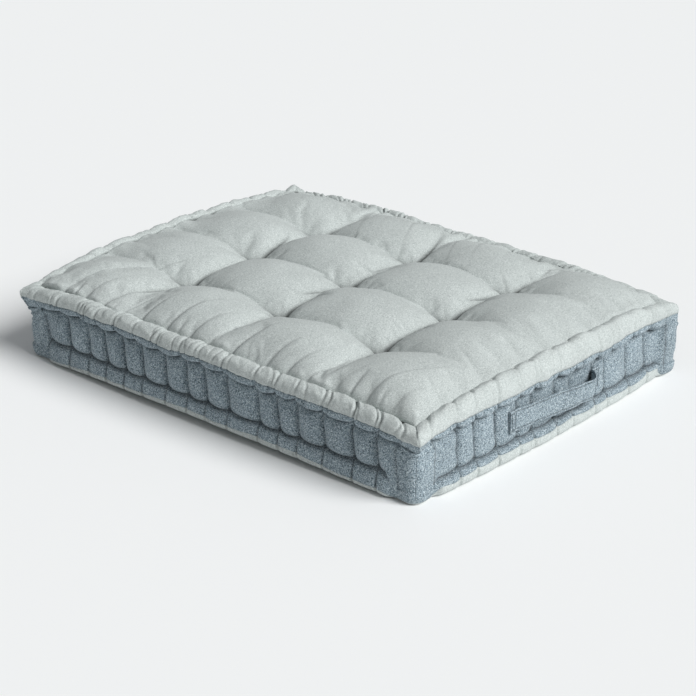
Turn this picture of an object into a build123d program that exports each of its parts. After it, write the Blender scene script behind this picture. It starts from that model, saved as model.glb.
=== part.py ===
"""Tufted futon mattress: a rolled-edge casing, layered cotton filling, nine tufts and a carrying strap.

Millimetres. X runs along the long sides, Y along the short sides and +Z is up.
The origin is the middle of the flat underside. The strap is on the +X side.
Each physical piece is written to its own STEP file in parts/.
"""
from build123d import *
import math
import os

# --- driving dimensions -------------------------------------------------------------------------
LENGTH = 1000.0  # along X, from outer seam to outer seam
WIDTH = 800.0  # along Y, from outer seam to outer seam
SEAM_HEIGHT = 118.0  # from the bottom outer seam up to the top outer seam
BOTTOM_SEAM_Z = 20.0  # height of the bottom outer seam above the floor
CROWN_Z = 200.0  # top of the puffs
CORNER_R = 34.0  # outer corner of the casing, seen from above

CLOTH = 2.0  # casing cloth with its inner lining
GAP = 0.3  # air between filling pieces and their neighbours

ROLL_R = 15.0  # stitched roll along the top and bottom edges
ROLL_INSET = ROLL_R  # the roll's centre line, in from the outer seam
BAND_INSET = 8.0  # outer face of the side band, in from the outer seam
PANEL_INSET = 26.0  # where the top and bottom panels rise out of the roll's inner groove
CROWN_FILLET = 45.0  # rounded shoulder of the crowned top
UNDERSIDE_FILLET = 3.0

TUFTS_X = 3
TUFTS_Y = 3
TUFT_MARGIN = 16.0  # the tuft grid divides the area inside this margin into equal puffs
TOP_DIMPLE_DEPTH = 60.0
TOP_DIMPLE_WIDTH = 190.0
BOTTOM_DIMPLE_DEPTH = 9.0
BOTTOM_DIMPLE_WIDTH = 70.0
TWINE_R = 1.0
TWINE_HOLE_R = 1.3
TOP_STITCH_LENGTH = 14.0  # the loop of twine that lies in each top dimple
KNOT_R = 3.0

MIDDLE_BATTS = 3  # cotton layers between the two rolls, over the full width
STITCH_PITCH = 59.0  # hand stitches that gather the roll, one per lobe of the side
STITCH_LENGTH = 38.0
STITCH_WIDTH = 1.5
STITCH_THICK = 1.0

STRAP_WIDTH = 40.0
HANDLE_Z = 72.0  # middle of the strap above the floor
STRAP_THICK = 2.5
STRAP_SPAN = 280.0  # over both sewn ends
STRAP_END = 22.0  # length of each sewn-down end
STRAP_BOW = 26.0  # how far the strap's middle stands out from the side
STRAP_PEAK_Y = 52.0  # where it stands out furthest
STRAP_FREE_BOW = 16.0  # the part that stands out further than this swings as the handle
TACK_LENGTH = 34.0

# --- dimensions that follow ---------------------------------------------------------------------
TOP_SEAM_Z = BOTTOM_SEAM_Z + SEAM_HEIGHT
ROLL_FILL_R = ROLL_R - CLOTH - GAP
FILL_INSET = PANEL_INSET + CLOTH + GAP
BAND_FILL_INSET = BAND_INSET + CLOTH + GAP
MIDDLE_LOW_Z = BOTTOM_SEAM_Z + ROLL_R - CLOTH + GAP
MIDDLE_HIGH_Z = TOP_SEAM_Z - ROLL_R + CLOTH - GAP
TOP_BATT_Z = TOP_SEAM_Z + ROLL_R - CLOTH  # joint between the two layers under the top panel
SIDE_X = LENGTH / 2 - BAND_INSET
STRAP_BOTTOM_Z = HANDLE_Z - STRAP_WIDTH / 2


def outline(inset):
    """Rounded rectangle of the casing, moved inwards by inset."""
    radius = max(CORNER_R - inset, 2.0)
    return RectangleRounded(LENGTH - 2 * inset, WIDTH - 2 * inset, radius)


def slab(inset, low, high):
    """Plain layer with the casing's outline."""
    return Pos(0, 0, low) * extrude(outline(inset), high - low)


def edges_at(solid, z):
    """Edges of a layer that lie all round at one height."""
    return solid.edges().filter_by_position(Axis.Z, z - 0.01, z + 0.01)


def roll(radius, z):
    """Full tube along the casing's edge."""
    path = (Pos(0, 0, z) * outline(ROLL_INSET)).wire()
    start = path @ 0
    section = Plane(origin=start, z_dir=path % 0) * Circle(radius)
    return sweep(section, path=path)


def tuft_places():
    """Centres of the tufts, seen from above."""
    step_x = (LENGTH - 2 * TUFT_MARGIN) / (TUFTS_X + 1)
    step_y = (WIDTH - 2 * TUFT_MARGIN) / (TUFTS_Y + 1)
    for i in range(TUFTS_X):
        for j in range(TUFTS_Y):
            x = (i - (TUFTS_X - 1) / 2) * step_x
            y = (j - (TUFTS_Y - 1) / 2) * step_y
            yield x, y


def dimple_radius(depth, width):
    """Radius of the ball that presses a dimple of this depth and width into a flat face."""
    return (width * width / 4 + depth * depth) / (2 * depth)


def press_top(solid, extra):
    """Take the top dimples out of a solid, extra deeper than the casing's own surface."""
    radius = dimple_radius(TOP_DIMPLE_DEPTH, TOP_DIMPLE_WIDTH)
    centre_z = CROWN_Z - TOP_DIMPLE_DEPTH + radius
    for x, y in tuft_places():
        solid = solid - Pos(x, y, centre_z) * Sphere(radius + extra)
    return solid


def press_bottom(solid, extra):
    """Take the underside's dimples out of a solid in the same way."""
    radius = dimple_radius(BOTTOM_DIMPLE_DEPTH, BOTTOM_DIMPLE_WIDTH)
    centre_z = BOTTOM_DIMPLE_DEPTH - radius
    for x, y in tuft_places():
        solid = solid - Pos(x, y, centre_z) * Sphere(radius + extra)
    return solid


def pierce(solid):
    """Needle holes for the nine tufting twines."""
    for x, y in tuft_places():
        solid = solid - Pos(x, y, CROWN_Z / 2) * Cylinder(TWINE_HOLE_R, CROWN_Z + 20)
    return solid


def crowned(inset, low, high, fillet_r):
    """Layer with a rounded shoulder round its top."""
    layer = slab(inset, low, high)
    return fillet(edges_at(layer, high), fillet_r)


def rounded_below(inset, low, high, fillet_r):
    """Layer with its lower edge rounded."""
    layer = slab(inset, low, high)
    return fillet(edges_at(layer, low), fillet_r)


# --- the casing ---------------------------------------------------------------------------------
def make_top_panel():
    """Light upper cloth: the crowned sleeping surface and the upper half of the top roll."""
    outside = crowned(PANEL_INSET, TOP_SEAM_Z, CROWN_Z, CROWN_FILLET)
    inside = crowned(PANEL_INSET + CLOTH, TOP_SEAM_Z, CROWN_Z - CLOTH, CROWN_FILLET - CLOTH)
    skin = press_top(outside, 0) - press_top(inside, CLOTH)
    tube = roll(ROLL_R, TOP_SEAM_Z) - roll(ROLL_R - CLOTH, TOP_SEAM_Z)
    upper_half = tube & slab(-CORNER_R, TOP_SEAM_Z, CROWN_Z)
    return pierce(skin + (upper_half - outside))


def make_bottom_panel():
    """Light lower cloth: the flat underside and the lower half of the bottom roll."""
    outside = rounded_below(PANEL_INSET, 0, BOTTOM_SEAM_Z, UNDERSIDE_FILLET)
    inside = slab(PANEL_INSET + CLOTH, CLOTH, BOTTOM_SEAM_Z)
    skin = press_bottom(outside, 0) - press_bottom(inside, CLOTH)
    tube = roll(ROLL_R, BOTTOM_SEAM_Z) - roll(ROLL_R - CLOTH, BOTTOM_SEAM_Z)
    lower_half = tube & slab(-CORNER_R, 0, BOTTOM_SEAM_Z)
    return pierce(skin + (lower_half - outside))


def make_side_bands():
    """Dark band round the sides with the dark halves of both rolls, seamed at the four corners."""
    middle = slab(-CORNER_R, BOTTOM_SEAM_Z, TOP_SEAM_Z)
    body = slab(BAND_INSET, 0, CROWN_Z)
    wall = (body - slab(BAND_INSET + CLOTH, 0, CROWN_Z)) & middle
    band = wall
    for seam_z in (BOTTOM_SEAM_Z, TOP_SEAM_Z):
        inner_tube = roll(ROLL_R - CLOTH, seam_z)
        skin = ((roll(ROLL_R, seam_z) - inner_tube) & middle) - body
        band = (band - inner_tube) + skin
    half_x, half_y = LENGTH / 2 + CORNER_R, WIDTH / 2 + CORNER_R
    ridge = (LENGTH - WIDTH) / 2
    inner = ridge + GAP / 2
    front_area = [(-half_x, -half_y), (half_x, -half_y), (inner, 0), (-inner, 0)]
    right_area = [(half_x, half_y), (inner, 0), (half_x, -half_y)]
    cutters = {
        "side_band_front": Polygon(*front_area, align=None),
        "side_band_right": Polygon(*right_area, align=None),
        "side_band_back": Rot(0, 0, 180) * Polygon(*front_area, align=None),
        "side_band_left": Rot(0, 0, 180) * Polygon(*right_area, align=None),
    }
    return {name: band & extrude(area, CROWN_Z) for name, area in cutters.items()}


# --- the filling --------------------------------------------------------------------------------
def make_roll_filling(seam_z, panel_solid):
    """Rope of fibre caught inside a stitched roll."""
    return roll(ROLL_FILL_R, seam_z) - panel_solid


def make_batts():
    """Flat cotton batts, stacked from the underside to the crown."""
    low = slab(FILL_INSET, CLOTH + GAP, MIDDLE_LOW_Z - GAP)
    batts = {"cotton_batt_1": pierce(press_bottom(low, CLOTH + GAP))}
    step = (MIDDLE_HIGH_Z - MIDDLE_LOW_Z) / MIDDLE_BATTS
    for number in range(MIDDLE_BATTS):
        start = MIDDLE_LOW_Z + number * step
        layer = slab(BAND_FILL_INSET, start, start + step - GAP)
        batts[f"cotton_batt_{number + 2}"] = pierce(layer)
    upper = slab(FILL_INSET, MIDDLE_HIGH_Z, TOP_BATT_Z - GAP)
    batts[f"cotton_batt_{MIDDLE_BATTS + 2}"] = pierce(press_top(upper, CLOTH + GAP))
    crown = crowned(FILL_INSET, TOP_BATT_Z, CROWN_Z - CLOTH - GAP, CROWN_FILLET - CLOTH - GAP)
    batts[f"cotton_batt_{MIDDLE_BATTS + 3}"] = pierce(press_top(crown, CLOTH + GAP))
    return batts


# --- twine and stitches -------------------------------------------------------------------------
def make_tuft_ties():
    """One twine per tuft: a loop in the top dimple, the strand through the filling and a knot below."""
    top_z = CROWN_Z - TOP_DIMPLE_DEPTH + TWINE_R / 2
    knot_z = BOTTOM_DIMPLE_DEPTH - KNOT_R - TWINE_R / 2
    ties = []
    for x, y in tuft_places():
        strand = Pos(x, y, (top_z + knot_z) / 2) * Cylinder(TWINE_R, top_z - knot_z)
        loop = Pos(x, y, top_z + TWINE_R) * Box(TOP_STITCH_LENGTH, 2 * TWINE_R, 2 * TWINE_R)
        ties.append(strand + loop + Pos(x, y, knot_z) * Sphere(KNOT_R))
    return ties


def stitch_row(half_span, offset, z, along_x):
    """Stitches along one straight side, lying against the cloth on its outer face."""
    count = int(2 * half_span // STITCH_PITCH)
    first = -(count - 1) / 2 * STITCH_PITCH
    for number in range(count):
        s = first + number * STITCH_PITCH
        if along_x:
            yield Pos(s, offset, z) * Box(STITCH_LENGTH, STITCH_THICK, STITCH_WIDTH)
        else:
            yield Pos(offset, s, z) * Box(STITCH_THICK, STITCH_LENGTH, STITCH_WIDTH)


def make_roll_stitches(inset, z):
    """All stitches of one run round the mattress."""
    straight = CORNER_R + STITCH_LENGTH / 2
    reach = STITCH_THICK / 2 - inset
    stitches = []
    for side in (-1, 1):
        stitches += stitch_row(LENGTH / 2 - straight, side * (WIDTH / 2 + reach), z, True)
        stitches += stitch_row(WIDTH / 2 - straight, side * (LENGTH / 2 + reach), z, False)
    return stitches


# --- the carrying strap -------------------------------------------------------------------------
def strap_piece(start_y, end_y):
    """Stretch of the bowed strap between two places along the side.

    The bow is one arc up to the place where it stands out furthest, and a tighter one after it.
    """
    rise = STRAP_BOW - STRAP_THICK / 2
    run = (STRAP_SPAN / 2 - STRAP_END) + math.copysign(STRAP_PEAK_Y, -end_y + STRAP_PEAK_Y)
    radius = (run * run + rise * rise) / (2 * rise)
    centre_x = SIDE_X + STRAP_BOW - radius
    outer = Pos(centre_x, STRAP_PEAK_Y) * Circle(radius + STRAP_THICK / 2)
    inner = Pos(centre_x, STRAP_PEAK_Y) * Circle(radius - STRAP_THICK / 2)
    depth = STRAP_BOW + STRAP_THICK
    window = Pos(SIDE_X + depth / 2, (start_y + end_y) / 2) * Rectangle(depth, end_y - start_y)
    return Pos(0, 0, STRAP_BOTTOM_Z) * extrude((outer - inner) & window, STRAP_WIDTH)


def free_reach(side):
    """Distance from the peak to where the strap stands out by STRAP_FREE_BOW, on one side of it."""
    rise = STRAP_BOW - STRAP_THICK / 2
    run = STRAP_SPAN / 2 - STRAP_END - side * STRAP_PEAK_Y
    radius = (run * run + rise * rise) / (2 * rise)
    drop = STRAP_BOW - STRAP_FREE_BOW
    return math.sqrt(2 * radius * drop - drop * drop)


def make_handle():
    """The swinging middle of the strap and its two sewn-down ends."""
    left_free = STRAP_PEAK_Y - free_reach(-1)
    right_free = STRAP_PEAK_Y + free_reach(1)
    sewn_in = STRAP_SPAN / 2 - STRAP_END
    middle = strap_piece(left_free, STRAP_PEAK_Y) + strap_piece(STRAP_PEAK_Y, right_free)
    tab_size = (STRAP_THICK, STRAP_END, STRAP_WIDTH)
    tab_x = SIDE_X + STRAP_THICK / 2
    tab_y = STRAP_SPAN / 2 - STRAP_END / 2
    left_tab = Pos(tab_x, -tab_y, HANDLE_Z) * Box(*tab_size)
    right_tab = Pos(tab_x, tab_y, HANDLE_Z) * Box(*tab_size)
    return {
        "handle_strap": middle,
        "handle_end_left": left_tab + strap_piece(-sewn_in - 1, left_free - GAP),
        "handle_end_right": right_tab + strap_piece(right_free + GAP, sewn_in + 1),
    }


def make_handle_tacks():
    """Two rows of stitches across each sewn-down end."""
    tacks = []
    x = SIDE_X + STRAP_THICK + STITCH_THICK / 2
    for side in (-1, 1):
        for from_tip in (3.0, STRAP_END - 3.0):
            y = side * (STRAP_SPAN / 2 - from_tip)
            tacks.append(Pos(x, y, HANDLE_Z) * Box(STITCH_THICK, STITCH_WIDTH, TACK_LENGTH))
    return tacks


def make_parts():
    """Every node of the mattress by name."""
    top_body = slab(PANEL_INSET - GAP, TOP_SEAM_Z - GAP, CROWN_Z)
    bottom_body = slab(PANEL_INSET - GAP, 0, BOTTOM_SEAM_Z + GAP)
    groove = math.sqrt(ROLL_R**2 - (ROLL_INSET - BAND_INSET) ** 2) + STITCH_WIDTH
    crest = math.sqrt(ROLL_R**2 - (PANEL_INSET - STITCH_THICK - ROLL_INSET) ** 2) + STITCH_WIDTH
    parts = {
        "top_panel": make_top_panel(),
        "bottom_panel": make_bottom_panel(),
        "top_roll_filling": make_roll_filling(TOP_SEAM_Z, top_body),
        "bottom_roll_filling": make_roll_filling(BOTTOM_SEAM_Z, bottom_body),
        "tuft_ties": Compound(children=make_tuft_ties()),
        "top_roll_side_stitches": Compound(
            children=make_roll_stitches(BAND_INSET, TOP_SEAM_Z - groove)
        ),
        "top_roll_groove_stitches": Compound(
            children=make_roll_stitches(PANEL_INSET, TOP_SEAM_Z + crest)
        ),
        "bottom_roll_side_stitches": Compound(
            children=make_roll_stitches(BAND_INSET, BOTTOM_SEAM_Z + groove)
        ),
        "bottom_roll_groove_stitches": Compound(
            children=make_roll_stitches(PANEL_INSET, BOTTOM_SEAM_Z - crest)
        ),
        "handle_tack_stitches": Compound(children=make_handle_tacks()),
    }
    parts.update(make_side_bands())
    parts.update(make_batts())
    parts.update(make_handle())
    return parts


os.makedirs("parts", exist_ok=True)
for node, shape in make_parts().items():
    export_step(shape, f"parts/{node}.step")
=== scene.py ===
# %% [markdown]
# # A tufted futon mattress
#
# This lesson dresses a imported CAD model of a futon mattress. The real one is a sewn casing of two pale
# panels and a darker side band, filled with cotton. Nine twines pull the top down into dimples, and hand
# stitches gather both edges into firm rolls. The CAD model gives the sizes and the bodies. Blender makes
# the cloth: its puffs, its pleats, its weave and its colour.

# %% Load the frame
import math
import bmesh
import bpy
import numpy as np
from mathutils import Matrix, Vector


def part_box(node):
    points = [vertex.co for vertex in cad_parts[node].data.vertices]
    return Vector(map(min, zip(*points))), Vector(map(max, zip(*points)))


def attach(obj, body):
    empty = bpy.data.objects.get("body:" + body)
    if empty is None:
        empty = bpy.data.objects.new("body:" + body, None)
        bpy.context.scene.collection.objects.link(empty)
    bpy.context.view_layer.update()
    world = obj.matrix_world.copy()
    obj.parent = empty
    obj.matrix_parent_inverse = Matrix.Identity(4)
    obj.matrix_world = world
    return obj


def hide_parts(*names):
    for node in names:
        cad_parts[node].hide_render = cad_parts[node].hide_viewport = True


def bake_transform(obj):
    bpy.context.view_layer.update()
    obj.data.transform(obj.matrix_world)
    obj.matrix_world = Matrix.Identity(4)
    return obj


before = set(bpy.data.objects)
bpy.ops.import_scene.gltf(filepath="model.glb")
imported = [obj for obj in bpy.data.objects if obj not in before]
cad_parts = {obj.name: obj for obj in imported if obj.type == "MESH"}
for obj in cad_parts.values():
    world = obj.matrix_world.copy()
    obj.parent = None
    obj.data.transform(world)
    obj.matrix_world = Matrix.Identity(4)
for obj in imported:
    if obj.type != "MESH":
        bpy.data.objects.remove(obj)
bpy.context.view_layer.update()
MM = 0.001

# %% [markdown]
# ## Sizes
#
# The outer sizes come from the frame, so the cloth stays where the CAD model says. The rest are the few
# millimetres that a mattress maker would name: the roll, the stitch spacing, the depth of the tufts.

# %% Sizes from the frame
panel_low, panel_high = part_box("top_panel")
HALF_X = panel_high[0]
HALF_Y = panel_high[1]
TOP_SEAM = panel_low[2]
BOTTOM_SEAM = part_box("bottom_panel")[1][2]
CROWN = panel_high[2] - 6 * MM  # top of the puffs before the cotton presses them up

ROLL_R = 15 * MM
ROLL_LIFT = 7 * MM  # centre of the roll above its outer seam
GROOVE_INSET = 27 * MM  # the stitched groove inside the roll, in from the outer seam
CORNER_R = 5 * MM
CORNER_EAR = 6 * MM  # how far each pointed corner is drawn out
STITCH_PITCH = 59 * MM
PLAN_BULGE = 9 * MM  # the sides swell outwards between the corners
CORNER_DROOP = 17 * MM  # the top seam hangs lower at the corners
print("seams at", TOP_SEAM, BOTTOM_SEAM, "puffs up to", CROWN)

# %% [markdown]
# ## Helpers
#
# Three curves draw nearly all of this cloth: `smooth` is a step with level ends, `hill` is a rounded bump,
# and `nip` is the sharp line that a stitch pulls. `value_noise` adds the unevenness of hand work, with a
# seed so that it comes out the same each time. `grid_mesh` turns a grid of points into a mesh, with the
# last column joined to the first where the cloth runs all round.

# %% Curves and noise
def smooth(t):
    """0 to 1 with level ends."""
    t = np.clip(t, 0.0, 1.0)
    return t * t * (3 - 2 * t)


def hill(t):
    """1 at zero, rounded over, and next to nothing at 2 on either side."""
    return np.exp(-(t**2))


def nip(t):
    """1 at zero, where it comes to a sharp point, and fading on either side."""
    return np.exp(-np.abs(t))


def value_noise(x, y, seed, octaves=3):
    """Smooth seeded noise between about -1 and 1, for places in units of one bump."""
    total = np.zeros(np.broadcast(x, y).shape)
    weight = 1.0
    for octave in range(octaves):
        table = np.random.default_rng(seed + octave).uniform(-1, 1, (64, 64))
        gx, gy = x * 2**octave, y * 2**octave
        ix, iy = np.floor(gx).astype(int), np.floor(gy).astype(int)
        fx, fy = smooth(gx - ix), smooth(gy - iy)
        ix0, iy0, ix1, iy1 = ix % 64, iy % 64, (ix + 1) % 64, (iy + 1) % 64
        low = table[ix0, iy0] * (1 - fx) + table[ix1, iy0] * fx
        high = table[ix0, iy1] * (1 - fx) + table[ix1, iy1] * fx
        total += weight * (low * (1 - fy) + high * fy)
        weight *= 0.5
    return total


print("halfway up the slope of each curve:", smooth(0.5), round(hill(0.83), 2), round(nip(0.69), 2))

# %% Grids of points
def new_object(name, mesh):
    """An object for a mesh, a light or a camera, linked into the scene."""
    piece = bpy.data.objects.new(name, mesh)
    bpy.context.scene.collection.objects.link(piece)
    return piece


def grid_mesh(name, points, closed=False, shade=None):
    """A smooth mesh over a grid of points (rows, columns, 3); closed joins the last column to the first.

    shade is 0 to 1 for each point: how deep in a crease it lies; it is stored as painted shade, which the
    cloth materials use to darken the colour there.
    """
    rows, columns = points.shape[:2]
    index = np.arange(rows * columns).reshape(rows, columns)
    right = np.roll(index, -1, axis=1) if closed else index[:, 1:]
    left = index if closed else index[:, :-1]
    quads = np.stack([left[:-1], right[:-1], right[1:], left[1:]], axis=-1).reshape(-1, 4)
    mesh = bpy.data.meshes.new(name)
    mesh.from_pydata(points.reshape(-1, 3).tolist(), [], quads.tolist())
    mesh.polygons.foreach_set("use_smooth", [True] * len(mesh.polygons))
    # painted shade: how much each point's colour is darkened where shade falls in a crease
    if shade is not None:
        layer = mesh.attributes.new("painted_crease_shade", "FLOAT", "POINT")
        layer.data.foreach_set("value", np.clip(shade, 0, 1).ravel())
    return new_object(name, mesh)


def ring_mesh(name, points, shade, closed=True):
    """A grid that was listed from the top of the edge downwards, turned so that its faces point outwards."""
    return grid_mesh(name, points[::-1], closed, shade[::-1])


# %% [markdown]
# ## The edge of the casing as columns
#
# The rolls and the side band all run round the same rectangle. One list of columns goes round it once.
# Each column knows its side, how far along that side it is, and which way is out. A shape is then only a
# depth inwards and a height for each column, and the corners are drawn out to the points that a boxed
# casing has.

# %% Columns round the edge
COLUMN_STEP = 2.0 * MM
CORNER_COLUMNS = 14
EAR_WIDTH = 26 * MM  # how far along a side its pointed corner reaches


def edge_columns():
    """Side number, place along the side (-1 to 1), corner turn (0 to 1) and arc length of each column."""
    side, along, turn, length = [], [], [], []
    travelled = 0.0
    for number in range(4):
        straight = 2 * ((HALF_X if number % 2 == 0 else HALF_Y) - CORNER_R)
        count = int(round(straight / COLUMN_STEP))
        for step in range(count):
            side.append(number)
            along.append(-1 + 2 * step / count)
            turn.append(0.0)
            length.append(travelled + straight * step / count)
        travelled += straight
        arc = CORNER_R * math.pi / 2
        for step in range(CORNER_COLUMNS):
            side.append(number)
            along.append(1.0)
            turn.append(step / CORNER_COLUMNS)
            length.append(travelled + arc * step / CORNER_COLUMNS)
        travelled += arc
    return np.array(side), np.array(along), np.array(turn), np.array(length), travelled


SIDE, ALONG, TURN, LENGTH, ROUND = edge_columns()
HALF_ALONG = np.where(SIDE % 2 == 0, HALF_X, HALF_Y)
HALF_OUT = np.where(SIDE % 2 == 0, HALF_Y, HALF_X)
LONG_SIDE = np.where(SIDE % 2 == 0, 1.0, 0.0)
MIDNESS = np.where(TURN > 0, 0.0, 1 - ALONG**2)
FROM_CORNER = np.where(TURN > 0, 0.0, (1 - np.abs(ALONG)) * HALF_ALONG)  # metres along the side
EAR = hill(FROM_CORNER / EAR_WIDTH)
print(len(SIDE), "columns round", round(ROUND, 3), "m of edge")

# %% From columns to points
LEAST_R = 0.5 * MM  # a corner inset further than its radius keeps this much roundness


def outline(inset, corner_r=CORNER_R):
    """Place in the plan of every column, inset inwards from the outer seam, with its corners rounded."""
    inset = np.broadcast_to(inset, SIDE.shape).astype(float)
    radius = np.maximum(corner_r - inset, LEAST_R)
    pointed = CORNER_R / np.maximum(corner_r, CORNER_R)
    ear = CORNER_EAR * EAR * np.clip(1 - inset / GROOVE_INSET, 0, 1.2) * pointed
    outward = HALF_OUT - inset + PLAN_BULGE * MIDNESS + ear
    straight = HALF_ALONG - inset - radius
    angle = TURN * math.pi / 2
    s = straight * ALONG + radius * np.sin(angle) + ear * np.sign(ALONG)
    out = outward - radius * (1 - np.cos(angle))
    # side 0 is -Y and runs along +X; then come +X, +Y and -X, each turned a quarter further
    cos = np.array([1, 0, -1, 0])[SIDE]
    sin = np.array([0, 1, 0, -1])[SIDE]
    return np.stack([s * cos + out * sin, s * sin - out * cos], axis=-1)


def surface(insets, heights, radii=None):
    """Grid of points from rows of insets, heights and corner radii, one value per column."""
    rows = []
    for inset, height, corner_r in zip(insets, heights, radii or [CORNER_R] * len(insets)):
        plan = outline(inset, corner_r)
        rows.append(np.concatenate([plan, np.broadcast_to(height, SIDE.shape)[:, None]], axis=1))
    return np.array(rows)


corner_tip = outline(0.0)[CORNER_COLUMNS // 2 + np.flatnonzero(TURN > 0)[0]]
print("the first corner is drawn out to", corner_tip.round(4))

# %% [markdown]
# ## Stitches
#
# A hand stitch every six centimetres pulls the casing in. Between two stitches the filling swells into a
# lobe. The distance to the nearest stitch drives the lobes, the pleats over the roll and the folds that run
# up into the puffs, so all of them meet at the same places, as on the real thing.

# %% Stitch places
FIRST_STITCH = 30 * MM  # from the end of a side to its first stitch
STITCH_WANDER = 0.2  # share of the spacing by which a stitch may be off
PINCH_WIDTH = 7 * MM


def stitch_places(seed):
    """Arc lengths of the stitches, one at each side of every corner, with hand-made unevenness."""
    rng = np.random.default_rng(seed)
    places = []
    for number in range(4):
        on_side = (SIDE == number) & (TURN == 0)
        start, end = LENGTH[on_side][0] + FIRST_STITCH, LENGTH[on_side][-1] - FIRST_STITCH
        count = int(round((end - start) / STITCH_PITCH))
        for step in range(count + 1):
            wander = 0.0 if step in (0, count) else rng.uniform(-STITCH_WANDER, STITCH_WANDER)
            places.append(start + (end - start) * (step + wander) / count)
    return np.array(places)


STITCHES = stitch_places(5)
STRENGTH = np.random.default_rng(8).uniform(0.2, 1.0, len(STITCHES))  # how tightly each one was pulled


def stitch_offsets(shift=0.0):
    """Signed distance from each column to its nearest stitch, its number, and the lobe share 0 to 1."""
    gaps = (LENGTH - shift)[:, None] - STITCHES[None, :]
    gaps = (gaps + ROUND / 2) % ROUND - ROUND / 2
    nearest = np.argmin(np.abs(gaps), axis=1)
    signed = gaps[np.arange(len(LENGTH)), nearest]
    before = np.where(gaps >= 0, gaps, np.inf).min(axis=1)
    after = np.where(gaps < 0, -gaps, np.inf).min(axis=1)
    return signed, nearest, before / (before + after)


def lobe(share):
    """Cross-section of a swollen lobe: round in the middle and creased at both ends."""
    return np.sqrt(np.clip(1 - (2 * share - 1) ** 2, 0, 1))


SIGNED, NUMBERS, SHARE = stitch_offsets()
PINCH = nip(SIGNED / PINCH_WIDTH) * STRENGTH[NUMBERS]
print(len(STITCHES), "stitches in each run")

# %% [markdown]
# ## Heights of the seams
#
# The top seam droops towards the corners, because nothing under the pointed tips holds them up. The bottom
# seam does the opposite: it lifts between the corners, where the roll tucks under. Both wander by a
# millimetre or two between stitches. The short sides' roll is fuller in its middle, so its seam hangs
# lower there and its top rides higher.

# %% Top seam
ROLL_FULLNESS = 19 * MM  # extra height of the short sides' roll at its fullest
FAR_EAR, NEAR_EAR = 11 * MM, 4 * MM  # the tip of the -X +Y corner is curled up further than the others

SEAM_WANDER = 2.2 * MM * value_noise(LENGTH / (45 * MM), 0.0, 61, 2) - 2.5 * MM * PINCH
ROLL_TALL = ROLL_FULLNESS * ((1 - LONG_SIDE) * MIDNESS)
far_corner = (SIDE == 2) & (ALONG > 0) | (SIDE == 3) & (ALONG < 0)
EAR_LIFT = np.where(far_corner, FAR_EAR, NEAR_EAR) * EAR**2
SEAM_Z = TOP_SEAM - CORNER_DROOP * (1 - MIDNESS) ** 3 - 0.3 * ROLL_TALL + SEAM_WANDER + EAR_LIFT
print("top seam from", round(SEAM_Z.min(), 4), "to", round(SEAM_Z.max(), 4))

# %% Bottom seam
EDGE_LIFT = 12 * MM  # the long edges are drawn up off the floor between the corners
LONG_BASE_Z, LONG_BASE_RISE = 9 * MM, 4 * MM  # the long sides' bottom seam at the corners, and its rise
CORNER_BASE_Z = 4 * MM  # the corners stand almost on the floor
COLUMN_END, COLUMN_FADE = 50 * MM, 22 * MM  # where a stuffed corner column ends, and over what length

CORNERNESS = smooth((COLUMN_END - FROM_CORNER) / COLUMN_FADE)  # 1 where the corner is one stuffed column
BASE_LIFT = EDGE_LIFT * LONG_SIDE * MIDNESS
long_base = LONG_BASE_Z + LONG_BASE_RISE * MIDNESS
base_wander = (4 - 1.5 * LONG_SIDE) * MM * value_noise(LENGTH / (90 * MM), 0.0, 67, 2)
BASE_MID_Z = np.where(LONG_SIDE > 0, long_base, BOTTOM_SEAM + 2 * MM) + BASE_LIFT + base_wander
BASE_SEAM_Z = BASE_MID_Z * (1 - CORNERNESS) + CORNER_BASE_Z * CORNERNESS - 0.6 * SEAM_WANDER
LOW_LINE_Z = np.where(LONG_SIDE > 0, 53 * MM, 38 * MM)  # lower row of side stitches
print("bottom seam from", round(BASE_SEAM_Z.min(), 4), "to", round(BASE_SEAM_Z.max(), 4))

# %% [markdown]
# ## The rolled edge
#
# A tapissier catches a rope of fibre inside the casing's edge and stitches through it, which makes a firm
# roll. Its pale upper half belongs to the top panel. It could be a curve with a round bevel, but the
# pleats would then need sculpting by hand. Here each point of the section is placed by its angle, and each
# stitch adds one deep pleat and a few lesser ones beside it, drawn slightly slanted.

# %% Pleats at the stitches
LESSER_PLEATS = 4  # beside each stitch, many of them too faint to show


def pleats(signed, seed, twist=0.0, width=2.2 * MM):
    """Depth 0 to about 1 of the pleats that each stitch gathers, the lesser ones slanted by the twist."""
    rng = np.random.default_rng(seed)
    count = len(STITCHES)
    depth = STRENGTH[NUMBERS] * hill(signed / width)
    for _ in range(LESSER_PLEATS):
        offsets = rng.uniform(4, 24, count) * MM * rng.choice([-1, 1], count)
        slant = rng.uniform(-1, 1, count)
        power = rng.uniform(-0.3, 0.75, count).clip(0)
        beside = signed - offsets[NUMBERS] - slant[NUMBERS] * twist
        lesser = power[NUMBERS] * hill(beside / (0.8 * width))
        depth = np.maximum(depth, lesser)
    ridges = hill((np.abs(signed) - 6 * MM) / (3 * MM)) * STRENGTH[NUMBERS]
    return depth - 0.3 * ridges


print("deepest pleat", round(float(pleats(SIGNED, 21).max()), 3))

# %% Pale half of the top roll
ROLL_ROWS = 24
ROLL_START, ROLL_END = 240, -28  # degrees round the roll: from the groove over the top to the seam
ROLL_RISE = 120  # degrees of the roll over which its fuller middle is raised
GROOVE_START, GROOVE_FADE = 138, 14  # degrees where the roll turns down into the groove, and over which painted shade darkens it


def roll_point(angle, swell):
    """Inset and height above the seam of the roll at an angle: 0 is outwards and 90 degrees is up."""
    inset = ROLL_R - (ROLL_R + swell) * np.cos(angle)
    height = ROLL_LIFT + (ROLL_R + swell) * np.sin(angle)
    return inset, height


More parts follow.
